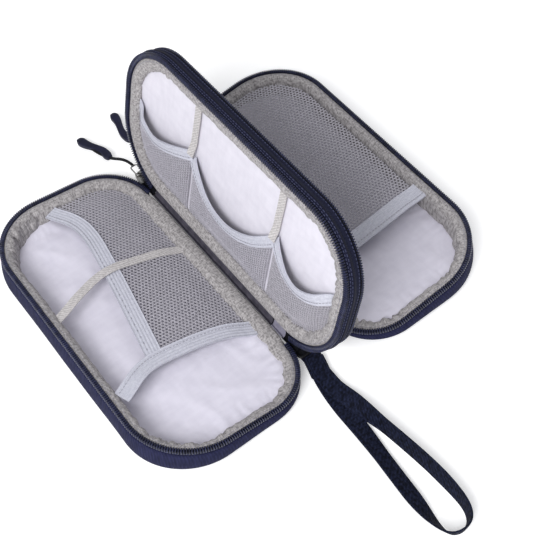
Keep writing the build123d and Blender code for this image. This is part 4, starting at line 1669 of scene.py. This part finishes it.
@dataclass
class ZipPull:
    """A slider with its bail, and the cord and moulded grip that hang from it."""

    name: str
    body: str
    at: tuple[float, float]
    route: Sequence[tuple[float, float, float]]
    bow: float
    bottom: float = 1.4
    cord: float = 1.8

    def build(self) -> None:
        """Make the slider, the bail, the cord and the grip."""
        self.slider()
        self.bail()
        line = nurbs_line(f"{self.name}_pull_line", self.route)
        grip = self.grip()
        bm = rod(line_stations([p / MM for p in line]), circle(self.cord / 2, 10))
        braid = Piece(f"{self.name}_braided_cord", CORD, self.body, [f"{self.name}_pull_cord"])
        cord = braid.made(bm, WORLD_PLACE)
        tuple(line[0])
        length_of(line)

    def slider(self) -> None:
        """The metal body with its two plates, its nose and the arched bridge."""
        bm = bmesh.new()
        x, y = self.at
        for low, tall in ((self.bottom, 1.0), (self.bottom + 2.2, 1.0)):
            part = bmesh.new()
            lozenge(part, (7.4, 9.0, tall), 0.38, 2)
            for vert in part.verts:
                vert.co.x *= 1.0 - 0.3 * ease(0.0, 4.5, vert.co.y)
            bmesh.ops.translate(part, vec=(x, y, low + tall / 2), verts=part.verts[:])
            poured(part, bm)
        part = bmesh.new()
        lozenge(part, (2.6, 6.4, 1.5), 0.3, 1)
        bmesh.ops.translate(part, vec=(x, y + 1.0, self.bottom + 1.6), verts=part.verts[:])
        poured(part, bm)
        arch = [
            Vector((x, y + 1.4 + 2.3 * math.cos(a), self.bottom + 3.1 + 2.3 * math.sin(a)))
            for a in [math.pi * i / 14 for i in range(15)]
        ]
        bar = [(0.32, 0, 0.8), (-0.32, 0, 0.8), (-0.32, 0, -0.8), (0.32, 0, -0.8)]
        loft(bm, line_stations(arch, up=Vector((1, 0, 0))), bar)
        cap(bm)
        Piece(f"{self.name}_slider_body", METAL, "middle_leaf", [f"{self.name}_slider"]).made(bm, WORLD_PLACE)

    def bail(self) -> None:
        """The bent wire loop between the bridge and the cord."""
        x, y = self.at
        middle = Vector((x, y + 1.4 - 0.5 + 4.5, self.bottom + 4.1))
        loop = Rim(4.4, 1.3, 1.3, 8.0)
        corner = middle - Vector((2.2, 0, 0))
        stations = [Station(s.at + corner, s.side, s.up, s.run) for s in loop.stations(0.5)]
        bm = bmesh.new()
        loft(bm, stations, circle(0.5, 8), closed_path=True)
        bmesh.ops.recalc_face_normals(bm, faces=bm.faces[:])
        Piece(f"{self.name}_wire_bail", METAL, self.body, [f"{self.name}_bail"]).made(bm, WORLD_PLACE)

    def grip(self) -> bpy.types.Object:
        """The soft moulded grip: squared where the cord enters, waisted, with a swollen end."""
        root, tail = (Vector(self.route[i]) / MM for i in (3, -1))
        along = (tail - root).normalized()
        side = along.cross(Vector((0, 0, 1))).normalized()
        line, count = [], 26
        for i in range(count + 1):
            share = i / count
            sway = self.bow * math.sin(TURN * share * 0.9) * ease(0, 0.3, share)
            line.append(root + along * (0.8 + 26.8 * share) + side * sway)

        def bend(point: Vector, station: Station, girth: float, offset: float) -> Vector:
            """Swell and waist the grip along its length."""
            share = station.run / 27.0
            swell = 0.67 + 0.09 * math.cos(TURN * share) + 0.05 * ease(0.55, 0.9, share)
            ends = min(1.0, 0.62 + 3.6 * share) * math.sqrt(max(0.05, 1 - ease(0.86, 1.04, share) * 0.93))
            ribs = 1 - 0.03 * (math.sin(station.run * 2.4) > 0.4) * (0.15 < share < 0.45)
            out = point - station.at
            return station.at + out * swell * ends * ribs

        section = [(3.6 * x, 0, 2.5 * z) for x, z in self.rounded(0.45)]
        bm = rod(line_stations(line), section, bend)
        moulded = Piece(f"{self.name}_moulded_grip", GRIP, self.body, [f"{self.name}_grip"], levels=1)
        return moulded.made(bm, WORLD_PLACE)

    @staticmethod
    def rounded(corner: float) -> list[tuple[float, float]]:
        """A rounded square from -1 to 1."""
        found, middle = [], 1 - corner
        corners = ((middle, middle), (-middle, middle), (-middle, -middle), (middle, -middle))
        for quarter, (x, y) in enumerate(corners):
            turn = quarter * math.pi / 2
            for i in range(4):
                a = turn + math.pi / 2 * i / 3
                found.append((x + corner * math.cos(a), y + corner * math.sin(a)))
        return found


@dataclass
class WristStrap:
    """The loop of webbing, the ring that it hangs on and the tab that holds the ring."""

    route: Sequence[tuple[float, float, float]]
    width: float = 10.0
    tab_x: float = -6.2

    def build(self) -> None:
        """Make the webbing, the ring and the tab."""
        line = nurbs_line("strap_line", self.route, 12)
        stations = line_stations([p / MM for p in line], twist=self.twist)
        upper = [(4.8, 0, 0.62), (3.9, 0, 0.52), (0, 0, 0.6), (-3.9, 0, 0.52), (-4.8, 0, 0.62)]
        bm = rod(stations, [(5.0, 0, 0), *upper, (-5.0, 0, 0), (-4.8, 0, -0.62), (0, 0, -0.6), (4.8, 0, -0.62)])
        webbing = Piece("strap_webbing", WEBBING, "middle_leaf", ["strap"], levels=1).made(bm, WORLD_PLACE)
        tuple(line[0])
        length_of(line)
        self.keeper(stations)
        self.ring()
        self.tab()

    @staticmethod
    def twist(share: float) -> float:
        """The webbing lies flat at the pouch and stands on its edge round the end of the loop."""
        near = 25 * ease(0.14, 0.3, share) + 55 * ease(0.38, 0.53, share)
        return -math.radians(near - 10 * ease(0.56, 0.66, share) - 70 * ease(0.8, 0.97, share))

    def keeper(self, stations: Sequence[Station]) -> None:
        """The sewn wrap where the loop's two ends meet, and its stitches."""
        wrapped = [stop for stop in stations if 1.5 < stop.run < 14.5]
        upper = [(5.6, 0, 0), (5.4, 0, 2.05), (0, 0, 2.2), (-5.4, 0, 2.05), (-5.6, 0, 0)]
        bm = rod(wrapped, [*upper, (-5.4, 0, -1.0), (5.4, 0, -1.0)])
        Piece("strap_keeper", WEBBING, "middle_leaf", levels=1).made(bm, WORLD_PLACE)
        stops = [stop for stop in stations if 3.0 < stop.run < 13.0]
        places = [rim_matrix(stop, side, 2.1) for stop in stops for side in (4.2, -4.2)]
        bm = stitch_row((1.0, 0.3, 0.24), 0.08, places)
        Piece("strap_stitches", DARK_THREAD, "middle_leaf").made(bm, WORLD_PLACE)

    def ring(self) -> None:
        """The dark ring, a bent bar with round edges."""
        loop = Rim(11.6, 1.8, 1.8, 7.8)
        middle = Vector((self.tab_x - 5.8, -71.2, 2.2))
        stations = [Station(s.at + middle, s.side, s.up, s.run) for s in loop.stations(0.7)]
        bm = bmesh.new()
        loft(bm, stations, circle(0.72, 10), closed_path=True)
        bmesh.ops.recalc_face_normals(bm, faces=bm.faces[:])
        Piece("strap_dark_ring", PLASTIC, "middle_leaf", ["strap_ring"]).made(bm, WORLD_PLACE)

    def tab(self) -> None:
        """The doubled webbing tab that the ring is sewn on with."""
        line = [Vector((self.tab_x, y, 2.1)) for y in (-66.9, -66.2, -64, -61, -58, -57)]
        upper = [(4.9, 0, 0), (4.7, 0, 0.72), (0, 0, 0.8), (-4.7, 0, 0.72), (-4.9, 0, 0)]
        bm = rod(line_stations(line), [*upper, (-4.7, 0, -0.72), (4.7, 0, -0.72)])
        Piece("strap_tab_cloth", WEBBING, "middle_leaf", ["strap_tab"], levels=1).made(bm, WORLD_PLACE)


# ---- studio -----------------------------------------------------------------------------------


@dataclass
class Studio:
    """A pale floor, soft light and the camera."""

    eye: tuple[float, float, float] = (-0.1757, -0.3141, 0.5070)
    right: tuple[float, float, float] = (0.79765, -0.60005, -0.06086)
    up: tuple[float, float, float] = (0.52322, 0.63825, 0.56468)
    back: tuple[float, float, float] = (-0.29999, -0.48226, 0.82306)
    lens: float = 74.05

    def camera(self) -> None:
        """Create the camera and make it the scene's own."""
        data = bpy.data.cameras.new("camera")
        data.lens, data.sensor_width = self.lens, 36.0
        data.clip_start, data.clip_end = 0.01, 20.0
        camera = bpy.data.objects.new("camera", data)
        axes = Matrix([self.right, self.up, self.back]).transposed()
        camera.matrix_world = Matrix.Translation(self.eye) @ axes.to_4x4()
        bpy.context.scene.collection.objects.link(camera)
        bpy.context.scene.camera = camera

    def floor(self) -> None:
        """A wide pale floor."""
        bm = bmesh.new()
        bmesh.ops.create_grid(bm, x_segments=8, y_segments=8, size=3.0)
        mesh = bpy.data.meshes.new("floor")
        bm.to_mesh(mesh)
        bm.free()
        made = bpy.data.materials.new("pale_floor")
        made.use_nodes = True
        shader = made.node_tree.nodes["Principled BSDF"]
        shader.inputs["Base Color"].default_value = (0.92, 0.92, 0.925, 1)
        shader.inputs["Roughness"].default_value = 0.9
        shader.inputs["Emission Color"].default_value = (1, 1, 1, 1)
        shader.inputs["Emission Strength"].default_value = 0.3
        mesh.materials.append(made)
        floor = bpy.data.objects.new("floor", mesh)
        floor.location.z = -0.0003
        bpy.context.scene.collection.objects.link(floor)

    def lights(self) -> None:
        """Soft daylight all round, with a large soft light above on the left and a weaker one behind."""
        world = bpy.data.worlds.new("world")
        world.use_nodes = True
        world.node_tree.nodes["Background"].inputs[0].default_value = (0.97, 0.98, 1.0, 1)
        world.node_tree.nodes["Background"].inputs[1].default_value = 0.45
        bpy.context.scene.world = world
        for name, place, size, power in (
            ("key", (-0.72, -0.42, 0.85), 0.6, 12.0),
            ("fill", (0.75, 0.35, 0.9), 0.9, 3.0),
        ):
            data = bpy.data.lights.new(name, "AREA")
            data.size, data.energy = size, power
            light = bpy.data.objects.new(name, data)
            light.location = place
            light.rotation_euler = (-Vector(place)).to_track_quat("-Z", "Y").to_euler()
            bpy.context.scene.collection.objects.link(light)
        bpy.context.scene.view_settings.view_transform = "Standard"


FRONT_PULL = (
    (-0.0096, 0.0902, 0.0054),
    (-0.0100, 0.0945, 0.0052),
    (-0.0122, 0.0995, 0.0045),
    (-0.0160, 0.1038, 0.0039),
    (-0.0192, 0.1105, 0.0037),
    (-0.0216, 0.1195, 0.0037),
    (-0.0226, 0.1295, 0.0037),
)
REAR_PULL = (
    (0.0025, 0.0932, 0.0054),
    (0.0026, 0.0975, 0.0051),
    (0.0016, 0.1020, 0.0044),
    (0.0007, 0.1070, 0.0039),
    (0.0007, 0.1140, 0.0037),
    (0.0014, 0.1225, 0.0037),
    (0.0022, 0.1310, 0.0037),
)
STRAP = (
    (-0.0062, -0.0768, 0.0024),
    (-0.0078, -0.0835, 0.0023),
    (-0.0106, -0.0930, 0.0016),
    (-0.0126, -0.1075, 0.0014),
    (-0.0134, -0.1240, 0.0023),
    (-0.0150, -0.1410, 0.0034),
    (-0.0168, -0.1585, 0.0044),
    (-0.0182, -0.1740, 0.0050),
    (-0.0190, -0.1865, 0.0055),
    (-0.0172, -0.1950, 0.0057),
    (-0.0112, -0.1980, 0.0057),
    (-0.0045, -0.1964, 0.0057),
    (-0.0008, -0.1895, 0.0057),
    (0.0000, -0.1775, 0.0056),
    (-0.0006, -0.1625, 0.0056),
    (-0.0024, -0.1460, 0.0056),
    (-0.0048, -0.1290, 0.0058),
    (-0.0076, -0.1125, 0.0048),
    (-0.0094, -0.1010, 0.0034),
    (-0.0092, -0.0940, 0.0033),
    (-0.0091, -0.0880, 0.0034),
)


def main() -> None:
    """Build the object in order."""
    logging.basicConfig(level=logging.INFO, format="%(message)s")
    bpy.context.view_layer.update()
    studio = Studio()
    studio.camera()
    ZipPull("front", "front_pull", (-9.6, 80.0), FRONT_PULL, 1.2).build()
    ZipPull("rear", "rear_pull", (2.5, 83.0), REAR_PULL, -1.2).build()
    WristStrap(STRAP).build()
    FrontTray("front", "front_tray", FRONT_PLACE, seed=1.0).build()
    RearTray("rear", "rear_tray", REAR_PLACE, seed=2.0).build()
    MiddleLeaf().build()
    Spine().build()
    studio.floor()
    studio.lights()


if __name__ == "__main__":
    main()
